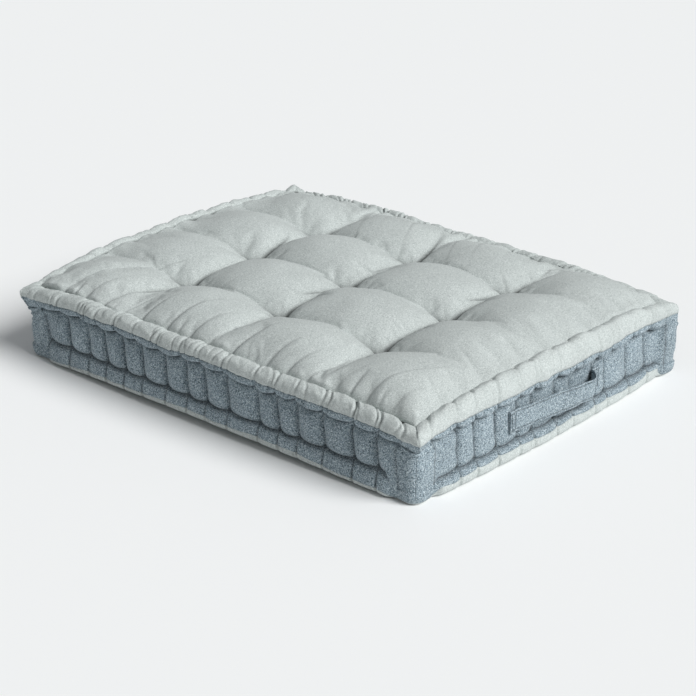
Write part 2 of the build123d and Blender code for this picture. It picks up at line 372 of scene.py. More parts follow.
def roll_swell(angle):
    """How far the roll's cloth stands out from its round section at an angle."""
    lean = 3 * MM * np.sin(angle * 1.3) * (1 + 0.4 * value_noise(LENGTH / (80 * MM), 0.0, 23, 1))
    uneven = 0.75 + 0.35 * value_noise(LENGTH / (12 * MM), angle, 25, 1)
    depth = pleats(SIGNED - lean, 21, twist=9 * MM * np.sin(angle - 1.2)) * uneven
    hold = 0.3 + 0.7 * LONG_SIDE  # the short sides are stitched more loosely
    grip = np.clip(0.75 + 0.5 * np.sin(angle), 0.35, 1.1)
    waves = 1.5 * MM * value_noise(LENGTH / (26 * MM), angle * 1.5, 31)
    drawn = LENGTH / (9 * MM) + angle * 1.2  # small pleats that slant round the roll
    fine = 0.7 * MM * value_noise(drawn, angle * 1.2, 37, 2) * hold
    slim = 4 * EAR * (0.4 + 0.6 * np.cos(angle))  # the tip of a corner holds no filling
    swell = (2.6 * lobe(SHARE) - 7.0 * depth * grip * hold - slim * hold) * MM
    return swell + waves + fine, depth * hold


def make_roll():
    """The pale cloth of the top roll, from its groove over the top to the seam."""
    insets, heights, shades = [], [], []
    for angle in np.radians(np.linspace(ROLL_START, ROLL_END, ROLL_ROWS)):
        swell, depth = roll_swell(angle)
        inset, height = roll_point(angle, swell)
        insets.append(inset)
        heights.append(SEAM_Z + height + ROLL_TALL * smooth((math.degrees(angle) - ROLL_END) / ROLL_RISE))
        # painted shade in the pleats, and painted shade down in the groove
        painted_groove_shade = smooth((angle - math.radians(GROOVE_START)) / math.radians(GROOVE_FADE))
        shades.append(np.clip(depth, 0, 1) ** 1.3 + painted_groove_shade)
    return ring_mesh("top_roll_cloth", surface(insets, heights), np.array(shades))


roll_piece = make_roll()
print("roll cloth", len(roll_piece.data.polygons), "faces")

# %% [markdown]
# ## The side band
#
# The dark band has three storeys. The top one is the lower half of the roll, which sags between stitches
# into crescents. The middle one is a row of upright lobes with deep creases, which lean the way the
# mattress was stitched. The lowest is the upper half of the bottom roll. One profile from seam to seam
# makes them all: each storey starts and ends tucked in at a stitch line, and `lobe` swells it in between.
# The casing's band is four strips seamed at the corners, so the finished grid is cut into four pieces.

# %% Corners of the band
TUCK = 15 * MM  # inset of the upper stitch line
LOW_TUCK = 11 * MM  # the lower line is pulled in less
COLUMN_CORNER_R = 27 * MM  # the stuffed corner is round under its pointed ear
SHARP_CORNER_R = 9 * MM  # but the corner between +X and +Y is drawn out sharp, as far as its ear
SHARPNESS = np.where(SIDE == 1, smooth(ALONG), 0) + np.where(SIDE == 2, smooth(-ALONG), 0)
COLUMN_R = COLUMN_CORNER_R * (1 - SHARPNESS) + SHARP_CORNER_R * SHARPNESS
LINE_R = CORNER_R + 10 * MM * (1 - SHARPNESS)  # corner radius at the upper stitch line
CRESCENT_ROWS, LOBE_ROWS, BASE_ROWS = 12, 28, 12
print("corner radius from", round(COLUMN_R.min(), 4), "to", round(COLUMN_R.max(), 4))

# %% Crescents under the top seam
def crescent_rows():
    """Lower half of the top roll: from the seam down to the upper stitch line."""
    start_inset, start_height = roll_point(np.radians(ROLL_END), roll_swell(np.radians(ROLL_END))[0])
    sag = (5 + 11 * lobe(SHARE) ** 1.2 + 3 * value_noise(LENGTH / (70 * MM), 0.0, 41, 1)) * MM
    bottom = SEAM_Z - sag - 3 * MM
    for t in np.linspace(0, 1, CRESCENT_ROWS):
        turn = t * math.pi / 2
        bow = np.sin(math.pi * t) * (1 + 4 * lobe(SHARE)) * MM
        inset = start_inset + (TUCK - start_inset) * (1 - np.cos(turn)) - bow
        height = (SEAM_Z + start_height) * (1 - np.sin(turn)) + bottom * np.sin(turn)
        straight_down = start_inset + 5 * MM * t * (1 - SHARPNESS)
        inset = inset * (1 - CORNERNESS) + straight_down * CORNERNESS
        pleat = pleats(SIGNED, 21) * (1 - t * t)
        # painted shade in the pleats, and a painted shadow under each crescent towards the upper stitch line
        shade = 0.6 * np.clip(pleat, 0, 1) + smooth((t - 0.6) / 0.4) * (1 - CORNERNESS)
        yield inset + 4 * MM * pleat, height, bottom, CORNER_R + (LINE_R - CORNER_R) * t, shade


line_depths = [row[0] for row in crescent_rows()][-1]
print("upper stitch line drawn in by", round(float(line_depths.mean()), 4))

# %% Upright lobes
LEAN, SHORT_LEAN = 13 * MM, 4 * MM  # how far a crease travels sideways on its way down, by side
SIDE_LEAN = np.where(LONG_SIDE > 0, LEAN, SHORT_LEAN)
CREASE_DEPTH, CREASE_WIDTH = 3.5 * MM, 3 * MM


def lobe_depth(t):
    """Inset of the upright lobes at a share t of their height, 0 at the upper stitch line, and the painted
    shade in their creases and along both stitch lines.
    """
    signed, numbers, share = stitch_offsets(SIDE_LEAN * t)
    body = np.sin(math.pi * share) ** 0.6
    strength = STRENGTH[numbers]
    belly = np.sin(math.pi * np.clip(t * (1 - 0.25 * CORNERNESS), 0, 1)) ** 0.5
    crease = nip(signed / CREASE_WIDTH) * CREASE_DEPTH * strength
    lumps = 1.3 * MM * value_noise(LENGTH / (38 * MM), t * 3, 43)
    out = ((8 + 6 * LONG_SIDE + 2 * strength) * MM * body + lumps - crease) * belly
    # painted shade along both stitch lines and in the creases between the lobes
    painted_line_shade = (np.exp(-t / 0.045) + np.exp(-(1 - t) / 0.035)) * (1 - CORNERNESS)
    shade = (0.35 + 0.65 * strength) * nip(signed / (2.6 * MM)) + painted_line_shade
    between_lines = TUCK + 1 * MM - (TUCK - LOW_TUCK) * smooth((t - 0.5) * 2) - out
    column = (7 - 3 * np.sin(math.pi * t) - 8 * SHARPNESS) * MM - lumps + crease * belly
    # wrinkles ring the column under its ear, and fade out downwards
    wrinkle = 3.2 * MM * np.sin(t * 42 + 3 * ALONG + FROM_CORNER / (9 * MM)) * np.exp(-t * 3.4)
    column = column + wrinkle * (1 - 0.8 * SHARPNESS)
    return between_lines * (1 - CORNERNESS) + column * CORNERNESS, shade


print("lobes stand out by up to", round(float((TUCK - lobe_depth(0.5)[0]).max()), 4))

# %% The whole band
CORNER_LINE_Z = 26 * MM  # the lower stitch line runs down to here at the corners


def make_band():
    """Insets, heights, corner radii and painted crease shades of the whole band, from the top seam to the
    bottom seam.
    """
    rows = []
    for inset, height, bottom, corner_r, shade in crescent_rows():
        rows.append((inset, height, corner_r, shade))
    low_signed, low_numbers, low_share = stitch_offsets(LEAN * LONG_SIDE)
    low_line = LOW_LINE_Z + (3 - 8 * lobe(low_share)) * MM * (1 - CORNERNESS)
    low_line = low_line * (1 - CORNERNESS) + CORNER_LINE_Z * CORNERNESS
    for t in np.linspace(0, 1, LOBE_ROWS + 1)[1:]:
        # rows crowd towards both stitch lines, where the cloth turns sharply
        share = 0.5 - 0.5 * math.cos(math.pi * t)
        corner_r = LINE_R + (COLUMN_R - LINE_R) * smooth(share * 4)
        inset, shade = lobe_depth(share)
        rows.append((inset, bottom * (1 - share) + low_line * share, corner_r, shade))
    crease = hill(low_signed / (2.4 * MM)) * (2 + 3 * STRENGTH[low_numbers]) * MM
    last = rows[-1][0]
    column = lobe_depth(0.5)[0]
    for t in np.linspace(0, 1, BASE_ROWS + 1)[1:]:
        out = np.sin(math.pi * t * 0.56) ** 0.5 * (11 + 2 * lobe(low_share)) * MM
        roll = LOW_TUCK - out + crease * smooth(t * 3)
        inset = last * (1 - smooth(t * 5)) + roll * smooth(t * 5)
        inset = inset * (1 - CORNERNESS) + (column + 4 * MM * t**3) * CORNERNESS
        # painted shade in the lower stitch line's creases and along the line itself
        shade = (0.8 * nip(low_signed / (2.2 * MM)) + math.exp(-t / 0.12)) * (1 - CORNERNESS)
        rows.append((inset, low_line * (1 - t) + BASE_SEAM_Z * t, COLUMN_R, shade))
    return zip(*rows)


band_insets, band_heights, band_radii, band_shades = (list(values) for values in make_band())
band_grid = surface(band_insets, band_heights, band_radii)
print("band grid", band_grid.shape[:2])

# %% Four strips of the band
BAND_NAMES = ("side_band_front", "side_band_right", "side_band_back", "side_band_left")


def make_band_strip(number):
    """The strip of one side, from the middle of one corner to the middle of the next."""
    start = np.flatnonzero(SIDE == number)[0] - CORNER_COLUMNS // 2
    end = np.flatnonzero(SIDE == number)[-1] + 1 - CORNER_COLUMNS // 2
    columns = np.arange(start, end + 1) % len(SIDE)
    shades = np.array(band_shades)[:, columns]
    return ring_mesh(BAND_NAMES[number] + "_cloth", band_grid[:, columns], shades, closed=False)


band_pieces = [make_band_strip(number) for number in range(4)]
print([piece.name for piece in band_pieces])

# %% [markdown]
# ## The underside
#
# The pale lower panel wraps the lower half of the bottom roll and then lies flat. It shows as a pale strip
# along the floor. The roll's share is a ring of columns again, and the flat share is a grid with nine
# shallow dimples where the twines are knotted.

# %% Tuft places
TUFT_MARGIN = 16 * MM  # the outermost puffs end this far inside the panel's edge
TUFT_LINES = np.array((-1, -0.5, 0, 0.5, 1))
CELL_X = TUFT_LINES * (HALF_X - TUFT_MARGIN)
CELL_Y = TUFT_LINES * (HALF_Y - TUFT_MARGIN)
TUFTS = [(x, y) for x in CELL_X[1:-1] for y in CELL_Y[1:-1]]
print(len(TUFTS), "tufts, on lines at", CELL_X[1:-1].round(3), "and", CELL_Y[1:-1].round(3))

# %% Pale half of the bottom roll
FLAT_Z = 0.4 * MM  # the lower cloth hardly clears the floor
BASE_ROLL_ROWS = 12
BASE_GROOVE = ((20, 2), (24, 5.5), (27, 7), (29, 5), (32, 1.5), (38, 0.6))  # millimetres in and up


def make_bottom_roll():
    """Pale lower half of the bottom roll: from its outer seam under the roll to the groove inside."""
    insets, heights = [], []
    swell = (2 + 4 * (1 - LONG_SIDE)) * MM * MIDNESS
    depth = pleats(SIGNED - LEAN * LONG_SIDE, 71) * (0.15 + 0.85 * LONG_SIDE)
    crease = depth * 1.8 * MM
    for t in np.linspace(0, 1, BASE_ROLL_ROWS):
        turn = t * math.pi / 2
        bow = (swell - crease) * np.sin(math.pi * t)
        insets.append(band_insets[-1] + 13 * MM * (1 - np.cos(turn)) - bow)
        heights.append(band_heights[-1] * (1 - np.sin(turn)) + (FLAT_Z + BASE_LIFT) * np.sin(turn))
    for inset, height in BASE_GROOVE:
        insets.append(np.full(SIDE.shape, inset * MM) + band_insets[-1] * 0.3)
        heights.append(height * MM + BASE_LIFT * (1 - inset / 70))
    radii = [COLUMN_R] * len(insets)
    # painted shade in the pleats
    shades = np.tile(0.6 * np.clip(depth, 0, 1), (len(insets), 1))
    return ring_mesh("bottom_roll_cloth", surface(insets, heights, radii), shades)


bottom_roll_piece = make_bottom_roll()
print("bottom roll", len(bottom_roll_piece.data.polygons), "faces")

# %% Flat of the lower panel
KNOT_RISE, KNOT_WIDTH = 9 * MM, 42 * MM  # the shallow dimple that a knot pulls up
DRAWN_UP, DRAWN_START, DRAWN_WIDTH = 7 * MM, 75 * MM, 42 * MM  # rise of the flat beside the long edges
UNDERSIDE_INSET = 33 * MM


def plan_growth(x, y):
    """How much the sides' swelling between the corners stretches the plan, along X and along Y."""
    growth_x = 1 + PLAN_BULGE / HALF_X * (1 - (y / HALF_Y) ** 2)
    growth_y = 1 + PLAN_BULGE / HALF_Y * (1 - (x / HALF_X) ** 2)
    return growth_x, growth_y


def bulged(x, y):
    """Place in the plan after the sides have swollen outwards."""
    growth_x, growth_y = plan_growth(x, y)
    return x * growth_x, y * growth_y


def underside_height(x, y):
    """Height of the lower cloth above the floor."""
    beside_edge = smooth((np.abs(y) - HALF_Y + DRAWN_START) / DRAWN_WIDTH)
    z = FLAT_Z + DRAWN_UP * (1 - (x / HALF_X) ** 2) * beside_edge
    for tuft_x, tuft_y in TUFTS:
        distance = np.hypot(x - tuft_x, y - tuft_y)
        z = z + KNOT_RISE * (1 - smooth(distance / KNOT_WIDTH)) ** 1.5
    return z


def make_underside():
    """Flat lower cloth with a shallow dimple at each tuft, drawn up along the long edges."""
    reach_x, reach_y = HALF_X - UNDERSIDE_INSET, HALF_Y - UNDERSIDE_INSET
    x, y = np.meshgrid(np.linspace(reach_x, -reach_x, 121), np.linspace(-reach_y, reach_y, 97))
    bulge_x, bulge_y = bulged(x, y)
    return grid_mesh("bottom_panel_cloth", np.stack([bulge_x, bulge_y, underside_height(x, y)], axis=-1))


underside_piece = make_underside()
print("underside", len(underside_piece.data.polygons), "faces")

# %% [markdown]
# ## The sleeping surface
#
# Nine twines divide the top into sixteen puffs. A puff is flat in the middle and steep at its borders, and
# the cloth between two tufts sags into a valley that is higher than the tufts. The tufts gather the cloth
# into sharp creases, and every stitch of the rolls sends a fold up the nearest puff. The height of each
# point is worked out first; the filling's pressure comes after.

# %% Puffs
TUFT_Z = 158 * MM
VALLEY_X, VALLEY_Y = 11 * MM, 14 * MM  # rise of the cloth between two tufts, along X and along Y
SHOULDERS = (38 * MM, 85 * MM, 92 * MM, 58 * MM)  # width of the slope at +X, -X, +Y and -Y
SETTLED = 13 * MM  # the cotton has settled towards the +X and -Y sides, so the others are lower
PUFF_POWER_X, PUFF_POWER_Y = 1.8, 2.0  # a higher power is flatter on top and steeper at the border
MERGE = 0.75  # the outer valleys fade out by this much towards +X


def cell_place(x, lines):
    """Place -1 to 1 of x within the puff it lies in."""
    number = np.clip(np.searchsorted(lines, x, side="right") - 1, 0, len(lines) - 2)
    low, high = lines[number], lines[number + 1]
    return np.clip(2 * (x - low) / (high - low) - 1, -1, 1)


def puff_height(x, y):
    """Height of the sixteen puffs, before the edge rounds them off."""
    share_x = 1 - np.abs(cell_place(x, CELL_X)) ** PUFF_POWER_X
    merged = MERGE * smooth((x - CELL_X[3]) / (HALF_X - CELL_X[3]) * 1.5)
    share_y = 1 - np.abs(cell_place(y, CELL_Y)) ** PUFF_POWER_Y * (1 - merged)
    rest = CROWN - TUFT_Z - VALLEY_X - VALLEY_Y
    return TUFT_Z + VALLEY_X * share_x + VALLEY_Y * share_y + rest * share_x * share_y


print("height at the middle tuft", round(float(puff_height(0.0, 0.0)), 4))

# %% Puffs down to the groove
LIP = 30 * MM  # the round first part of each slope
GROOVE_RISE = 20 * MM  # the groove lies this far above the top seam
GROOVE_DIP, GROOVE_EDGE = 7 * MM, 3 * MM  # how far the cloth is tucked down at its very edge
SHORT_LIFT = 13 * MM  # the groove is higher in the middle of the short sides, as their roll is
CORNER_SINK = 10 * MM  # the puffs are lower towards the corners


def shoulder(distance, width):
    """Share 0 to 1 of the full height at a distance in from a groove: round at first, then a slope."""
    lip = np.sqrt(1 - (1 - np.clip(distance / LIP, 0, 1)) ** 2)
    slope = 1 - (1 - np.clip(distance / width, 0, 1)) ** 2.2
    return 0.32 * lip + 0.68 * slope


def edge_height(x, y):
    """Puffs rounded down into the groove round the edge, and lower at the corners and the far sides."""
    reach_x, reach_y = HALF_X - GROOVE_INSET, HALF_Y - GROOVE_INSET
    distances = (reach_x - x, reach_x + x, reach_y - y, reach_y + y)
    d = np.min(distances, axis=0)
    corner = (np.abs(x) / HALF_X) ** 3 * (np.abs(y) / HALF_Y) ** 3
    short_lift = SHORT_LIFT * (np.abs(x) / HALF_X) ** 4 * (1 - (y / HALF_Y) ** 2)
    groove = TOP_SEAM + GROOVE_RISE - CORNER_DROOP * corner**2 + short_lift
    rounded = np.min([shoulder(gap, width) for gap, width in zip(distances, SHOULDERS)], axis=0)
    settled = SETTLED * (smooth(y / HALF_Y) + smooth(-x / HALF_X))
    height = puff_height(x, y) - CORNER_SINK * corner - settled
    return groove + (height - groove) * rounded - GROOVE_DIP * smooth(-d / GROOVE_EDGE)


edge_middle = edge_height(np.array([HALF_X - GROOVE_INSET]), np.array([0.0]))[0]
print("groove in the middle of the +X side at", round(float(edge_middle), 4))

# %% [markdown]
# Two things crease the cloth. Every stitch of the roll gathers it, so a fold runs inwards from the stitch
# and is dragged a little sideways. Every tuft gathers it too, so creases run out from the tuft, the deepest
# ones along the valleys. Both are written as a depth at a point, from the distance to the nearest line.

# %% Folds beside the edge
FOLD_SHARES = (1, 0.12, 0.3, 0.15)  # how hard the stitches of -Y, +X, +Y and -X pull on the puffs
CALM_END, CALM_WIDTH = 0.65, 80 * MM  # the last puff along -Y is stretched tight and folds this much less
FOLD_DRAG = 0.33  # sideways drag of a fold as it runs inwards
LOBE_REACH = 16 * MM  # how far in from the groove the cloth swells over it


def beside_edges(x, y):
    """For each side: its number, places along it, and how far in from its groove each point lies."""
    sides = ((x, y + HALF_Y), (y, HALF_X - x), (x, HALF_Y - y), (y, x + HALF_X))
    for side, (along, distance) in enumerate(sides):
        yield side, along, np.clip(distance - GROOVE_INSET, 0, None)


def side_fold(side, places):
    """Stitches of one side at places along it: signed distance to the nearest one, and its strength."""
    on_side = (SIDE == side) & (TURN == 0)
    direction = 1 if side in (0, 1) else -1
    half = HALF_X if side % 2 == 0 else HALF_Y
    along = ALONG[on_side] * half * direction
    order = np.argsort(along)
    signed = SIGNED[on_side][order] * direction
    strength = STRENGTH[NUMBERS[on_side][order]]
    return np.interp(places, along[order], signed), np.interp(places, along[order], strength)


def broad_fold(signed):
    """Depth of a fold at a signed distance from its line, with the cloth heaped up on one side."""
    groove = nip(signed / (3.5 * MM))
    ridge = hill((signed - 9 * MM) / (7 * MM))
    return (4.6 * groove - 1.8 * ridge) * MM


def edge_folds(x, y, profile):
    """Folds that the roll's stitches pull into the cloth beside each edge."""
    depth = np.zeros_like(x)
    for side, along, inward in beside_edges(x, y):
        signed, strength = side_fold(side, along - FOLD_DRAG * inward**1.25 / (60 * MM) ** 0.25)
        reach = (45 + 120 * strength**2) * MM
        fade = hill(inward / reach) * FOLD_SHARES[side]
        if side == 0:
            fade = fade * (1 - CALM_END * smooth((x - CELL_X[3]) / CALM_WIDTH))
        depth += profile(signed) * strength * fade
    return depth


def edge_lobes(x, y):
    """Cloth that swells over the groove between two stitches of the roll, so the groove is not straight."""
    rise = np.zeros_like(x)
    for side, along, inward in beside_edges(x, y):
        signed, strength = side_fold(side, along)
        swell = smooth(np.abs(signed) / (0.42 * STITCH_PITCH)) * (0.5 + 0.5 * strength)
        over = (7 + 5 * value_noise(along / (120 * MM) + side, 0.0, 57, 1)) * MM
        rise = np.maximum(rise, over * swell * nip(inward / LOBE_REACH) * smooth(inward / (2 * MM)))
    return rise


print("deepest a fold presses", round(float(broad_fold(np.array([0.0]))[0]), 4))

# %% Creases at the tufts
LONG_CREASE, SHORT_CREASE = 125, 80  # millimetres from a tuft along Y and along X
PIT_WIDTH = 9 * MM
TUFT_CREASES = 8  # round each tuft: a deep one along each axis, with a lesser pleat between two of them


def tuft_creases(x, y, width=4.5 * MM, slots=(17 * MM, 8 * MM), lesser=1.0, pit=15 * MM, seed=17):
    """Creases that run out from each tuft: deep slots along Y and X, and lesser pleats between them.

    slots are the depths of the slots along Y and X, lesser scales the pleats, and pit is how deep the tuft
    itself lies.
    """
    rng = np.random.default_rng(seed)
    depth = np.zeros_like(x)
    for tuft_x, tuft_y in TUFTS:
        dx, dy = x - tuft_x, y - tuft_y
        distance = np.hypot(dx, dy)
        bearing = np.arctan2(dy, dx)
        depth += pit * nip(distance / PIT_WIDTH)
        for number in range(TUFT_CREASES):
            main = number % 2 == 0
            along_y = number % 4 == 2
            power = slots[0 if along_y else 1] if main else rng.uniform(0.8, 3) * MM * lesser
            own_length = LONG_CREASE if along_y else SHORT_CREASE
            length = own_length * MM if main else rng.uniform(35, 80) * MM
            start = number * math.pi / 4 + (0 if main else rng.uniform(-0.25, 0.25))
            bend = rng.uniform(-0.3, 0.3) * distance / (150 * MM)
            turn = (bearing - start - bend + math.pi) % (2 * math.pi) - math.pi
            across = np.abs(np.sin(turn)) * distance
            ahead = np.cos(turn) > 0
            fade = np.clip(1 - distance / length, 0, 1) * smooth(distance / (12 * MM))
            depth += power * nip(across / width) * fade * ahead
    return depth


print("depth beside a tuft", round(float(tuft_creases(np.array([10 * MM]), np.array([0.0]))[0]), 4))

# %% Crown mesh
CROWN_STEP = 4.6 * MM
CROWN_TUCK = 3 * MM  # the crown's edge is tucked this far under the roll
HELD_EDGE, HELD_TUFT = 4 * MM, 8 * MM  # how wide the cloth is held at its edge and round a tuft
HOLD_DEPTH, HOLD = 6 * MM, 0.9  # a crease this deep is held this hard while the cloth fills
LUMP, LUMP_SIZE = 2.4 * MM, 85 * MM


def crown_lumps(x, y):
    """Unevenness of the cotton under the cloth."""
    return LUMP * value_noise(x / LUMP_SIZE + 7, y / LUMP_SIZE + 3, 51, 2)


def make_crown():
    """The sleeping surface before it is filled, and how hard each of its points is held down."""
    reach_x, reach_y = HALF_X - GROOVE_INSET + CROWN_TUCK, HALF_Y - GROOVE_INSET + CROWN_TUCK
    columns, rows = int(2 * reach_x / CROWN_STEP), int(2 * reach_y / CROWN_STEP)
    x, y = np.meshgrid(np.linspace(-reach_x, reach_x, columns), np.linspace(-reach_y, reach_y, rows))
    creases = edge_folds(x, y, broad_fold) + tuft_creases(x, y)
    z = edge_height(x, y) + crown_lumps(x, y) + edge_lobes(x, y) - creases
    bulge_x, bulge_y = bulged(x, y)
    held = np.clip(creases / HOLD_DEPTH, 0, 1) * HOLD
    held[(np.abs(x) > reach_x - HELD_EDGE) | (np.abs(y) > reach_y - HELD_EDGE)] = 1
    for tuft_x, tuft_y in TUFTS:
        held[np.hypot(x - tuft_x, y - tuft_y) < HELD_TUFT] = 1
    # painted shade: the colour is darkened in deep creases, where shade falls
    shade = np.clip(creases / (9 * MM), 0, 1) ** 1.4
    return grid_mesh("top_panel_cloth", np.stack([bulge_x, bulge_y, z], axis=-1), False, shade), held.ravel()


crown_piece, crown_held = make_crown()
print("crown", len(crown_piece.data.polygons), "faces")

# %% [markdown]
# ## Cloth pressed from inside
#
# Height alone gives smooth puffs. Real cloth is a little larger than the shape that it covers, so it creases
# where the twines and the groove hold it. Blender's Cloth does that part: the edge and the tufts are
# pinned, the cloth grows by a few percent, and a light pressure stands for the cotton. The movement is
# capped, so that nothing can run away, and the result is kept as the cloth's own shape.

# %% Fill the crown
FILL_FRAMES = 20
PRESSURE = 5
SLACK = 0.03  # share by which the cloth is larger than its shape
MOST_MOVE = 14 * MM


def coordinates(mesh):
    """Places of a mesh's points as an array."""
    flat = np.empty(len(mesh.vertices) * 3)
    mesh.vertices.foreach_get("co", flat)
    return flat.reshape(-1, 3)


def pin(piece, weights):
    """A vertex group that holds each point by a weight of 0 to 1."""
    group = piece.vertex_groups.new(name="pin")
    for index in np.flatnonzero(weights > 0):
        group.add([int(index)], float(weights[index]), "REPLACE")
    return group.name


def press_cloth(piece, weights):
    """Run Cloth for a few frames, apply it, and cap how far any point has moved."""
    before = coordinates(piece.data)
    cloth = piece.modifiers.new("fill", "CLOTH")
    settings = cloth.settings
    settings.vertex_group_mass = pin(piece, weights)
    settings.quality = 6
    settings.use_pressure = True
    settings.uniform_pressure_force = PRESSURE
    settings.shrink_min = -SLACK
    settings.effector_weights.gravity = 0
    settings.tension_stiffness = settings.compression_stiffness = 12
    settings.shear_stiffness = 6
    settings.bending_stiffness = 0.2
    settings.tension_damping = settings.compression_damping = 12
    cloth.collision_settings.use_collision = False
    cloth.point_cache.frame_start, cloth.point_cache.frame_end = 1, FILL_FRAMES
    for number in range(1, FILL_FRAMES + 1):
        bpy.context.scene.frame_set(number)
    evaluated = piece.evaluated_get(bpy.context.evaluated_depsgraph_get())
    after = coordinates(evaluated.data)
    piece.modifiers.remove(cloth)
    piece.vertex_groups.clear()
    move = after - before
    size = np.linalg.norm(move, axis=1)
    capped = before + move * (MOST_MOVE * np.tanh(size / MOST_MOVE) / np.maximum(size, 1e-9))[:, None]
    piece.data.vertices.foreach_set("co", capped.ravel())
    piece.data.update()
    bpy.context.scene.frame_set(1)
    print(piece.name, "moved up to", round(float(size.max()), 4), "m, mean", round(float(size.mean()), 4))


press_cloth(crown_piece, crown_held)

# %% [markdown]
# The sharpest creases are thinner than the simulated mesh can hold. So the filled cloth is subdivided once,
# which brings its points 2 mm apart, and the creases are pressed into it afterwards, as a seam would be.

# %% Crisp creases
CRISP_DEPTH = 3.2 * MM
CRISP_SLOTS = (3, 0.9)  # as shares of that depth; over 1, so that a crease stays deep for most of its length
CRISP_PLEATS = 150  # brings the lesser pleats, which are in metres, to shares of 0.1 to 0.5
CRISP_WIDTH = 1.8 * MM


def sharp_line(signed):
    """Share 0 to 1 of a thin crease's depth, with a low ridge of cloth on one side."""
    return nip(signed / (1.7 * MM)) - 0.35 * hill((signed - 5 * MM) / (3 * MM))


def press_creases(piece):
    """Subdivide a cloth once, press the thin creases into it, and paint shade into them."""
    smoother = piece.modifiers.new("smooth", "SUBSURF")
    smoother.levels = smoother.render_levels = 1
    graph = bpy.context.evaluated_depsgraph_get()
    fine = bpy.data.meshes.new_from_object(piece.evaluated_get(graph))
    piece.modifiers.remove(smoother)
    piece.data = fine
    fine.name = piece.name
    points = coordinates(fine)
    growth_x, growth_y = plan_growth(points[:, 0], points[:, 1])
    x, y = points[:, 0] / growth_x, points[:, 1] / growth_y
    line = edge_folds(x, y, sharp_line)
    line += tuft_creases(x, y, width=CRISP_WIDTH, slots=CRISP_SLOTS, lesser=CRISP_PLEATS, pit=0)
    points[:, 2] -= CRISP_DEPTH * np.clip(line, -1, 1)
    fine.vertices.foreach_set("co", points.ravel())
    shade = np.empty(len(points), np.float32)
    layer = fine.attributes["painted_crease_shade"].data
    layer.foreach_get("value", shade)
    # painted shade: the thin creases are darkened in the colour attribute
    darker = 0.6 * shade + 0.95 * np.clip(line, 0, 1)
    layer.foreach_set("value", np.clip(darker, 0, 1).astype(np.float32))
    fine.update()


press_creases(crown_piece)
print("crown", len(crown_piece.data.polygons), "faces after its creases")

# %% [markdown]
# ## Cloth finishes
#
# The pale panels are a melange linen: off-white and grey threads spun together, which reads as a soft grey
# with fine flecks. The band is a heather weave of blue-grey and near-white yarns, much more contrasted.
# Neither has any shine, so the colour is a mix of two or three yarn colours driven by noise stretched along
# both thread directions, and the same noise lifts a small bump.

# %% Colour and node helpers
def linear(hex_colour):
    """sRGB hex to linear RGBA."""
    channels = [int(hex_colour[i:i + 2], 16) / 255 for i in (1, 3, 5)]
    return [c / 12.92 if c <= 0.04045 else ((c + 0.055) / 1.055) ** 2.4 for c in channels] + [1.0]


def add(tree, kind, links=(), **settings):
    """Add one node with its settings and links.

    A setting that starts with in_ is the value of an input, by its name or number. The others are the node's
    own properties. Each link is an input's name or number and the socket that feeds it.
    """
    node = tree.nodes.new(kind)
    for name, value in settings.items():
        if name.startswith("in_"):
            key = name[3:]
            node.inputs[int(key) if key.isdigit() else key.replace("_", " ")].default_value = value
        else:
            setattr(node, name, value)
    for key, socket in links:
        tree.links.new(socket, node.inputs[key])
    return node


def new_material(name, roughness, ior=1.5):
    """An empty Principled material, its node tree and its shader."""
    material = bpy.data.materials.new(name)
    material.use_nodes = True
    shader = material.node_tree.nodes["Principled BSDF"]
    shader.inputs["Roughness"].default_value = roughness
    shader.inputs["IOR"].default_value = ior
    return material, material.node_tree, shader


print("mid grey as linear light:", round(linear("#808080")[0], 3))

# %% Woven cloth
PATCH_SIZE = 70 * MM  # paler and darker patches of the cloth, as it was dyed and has faded


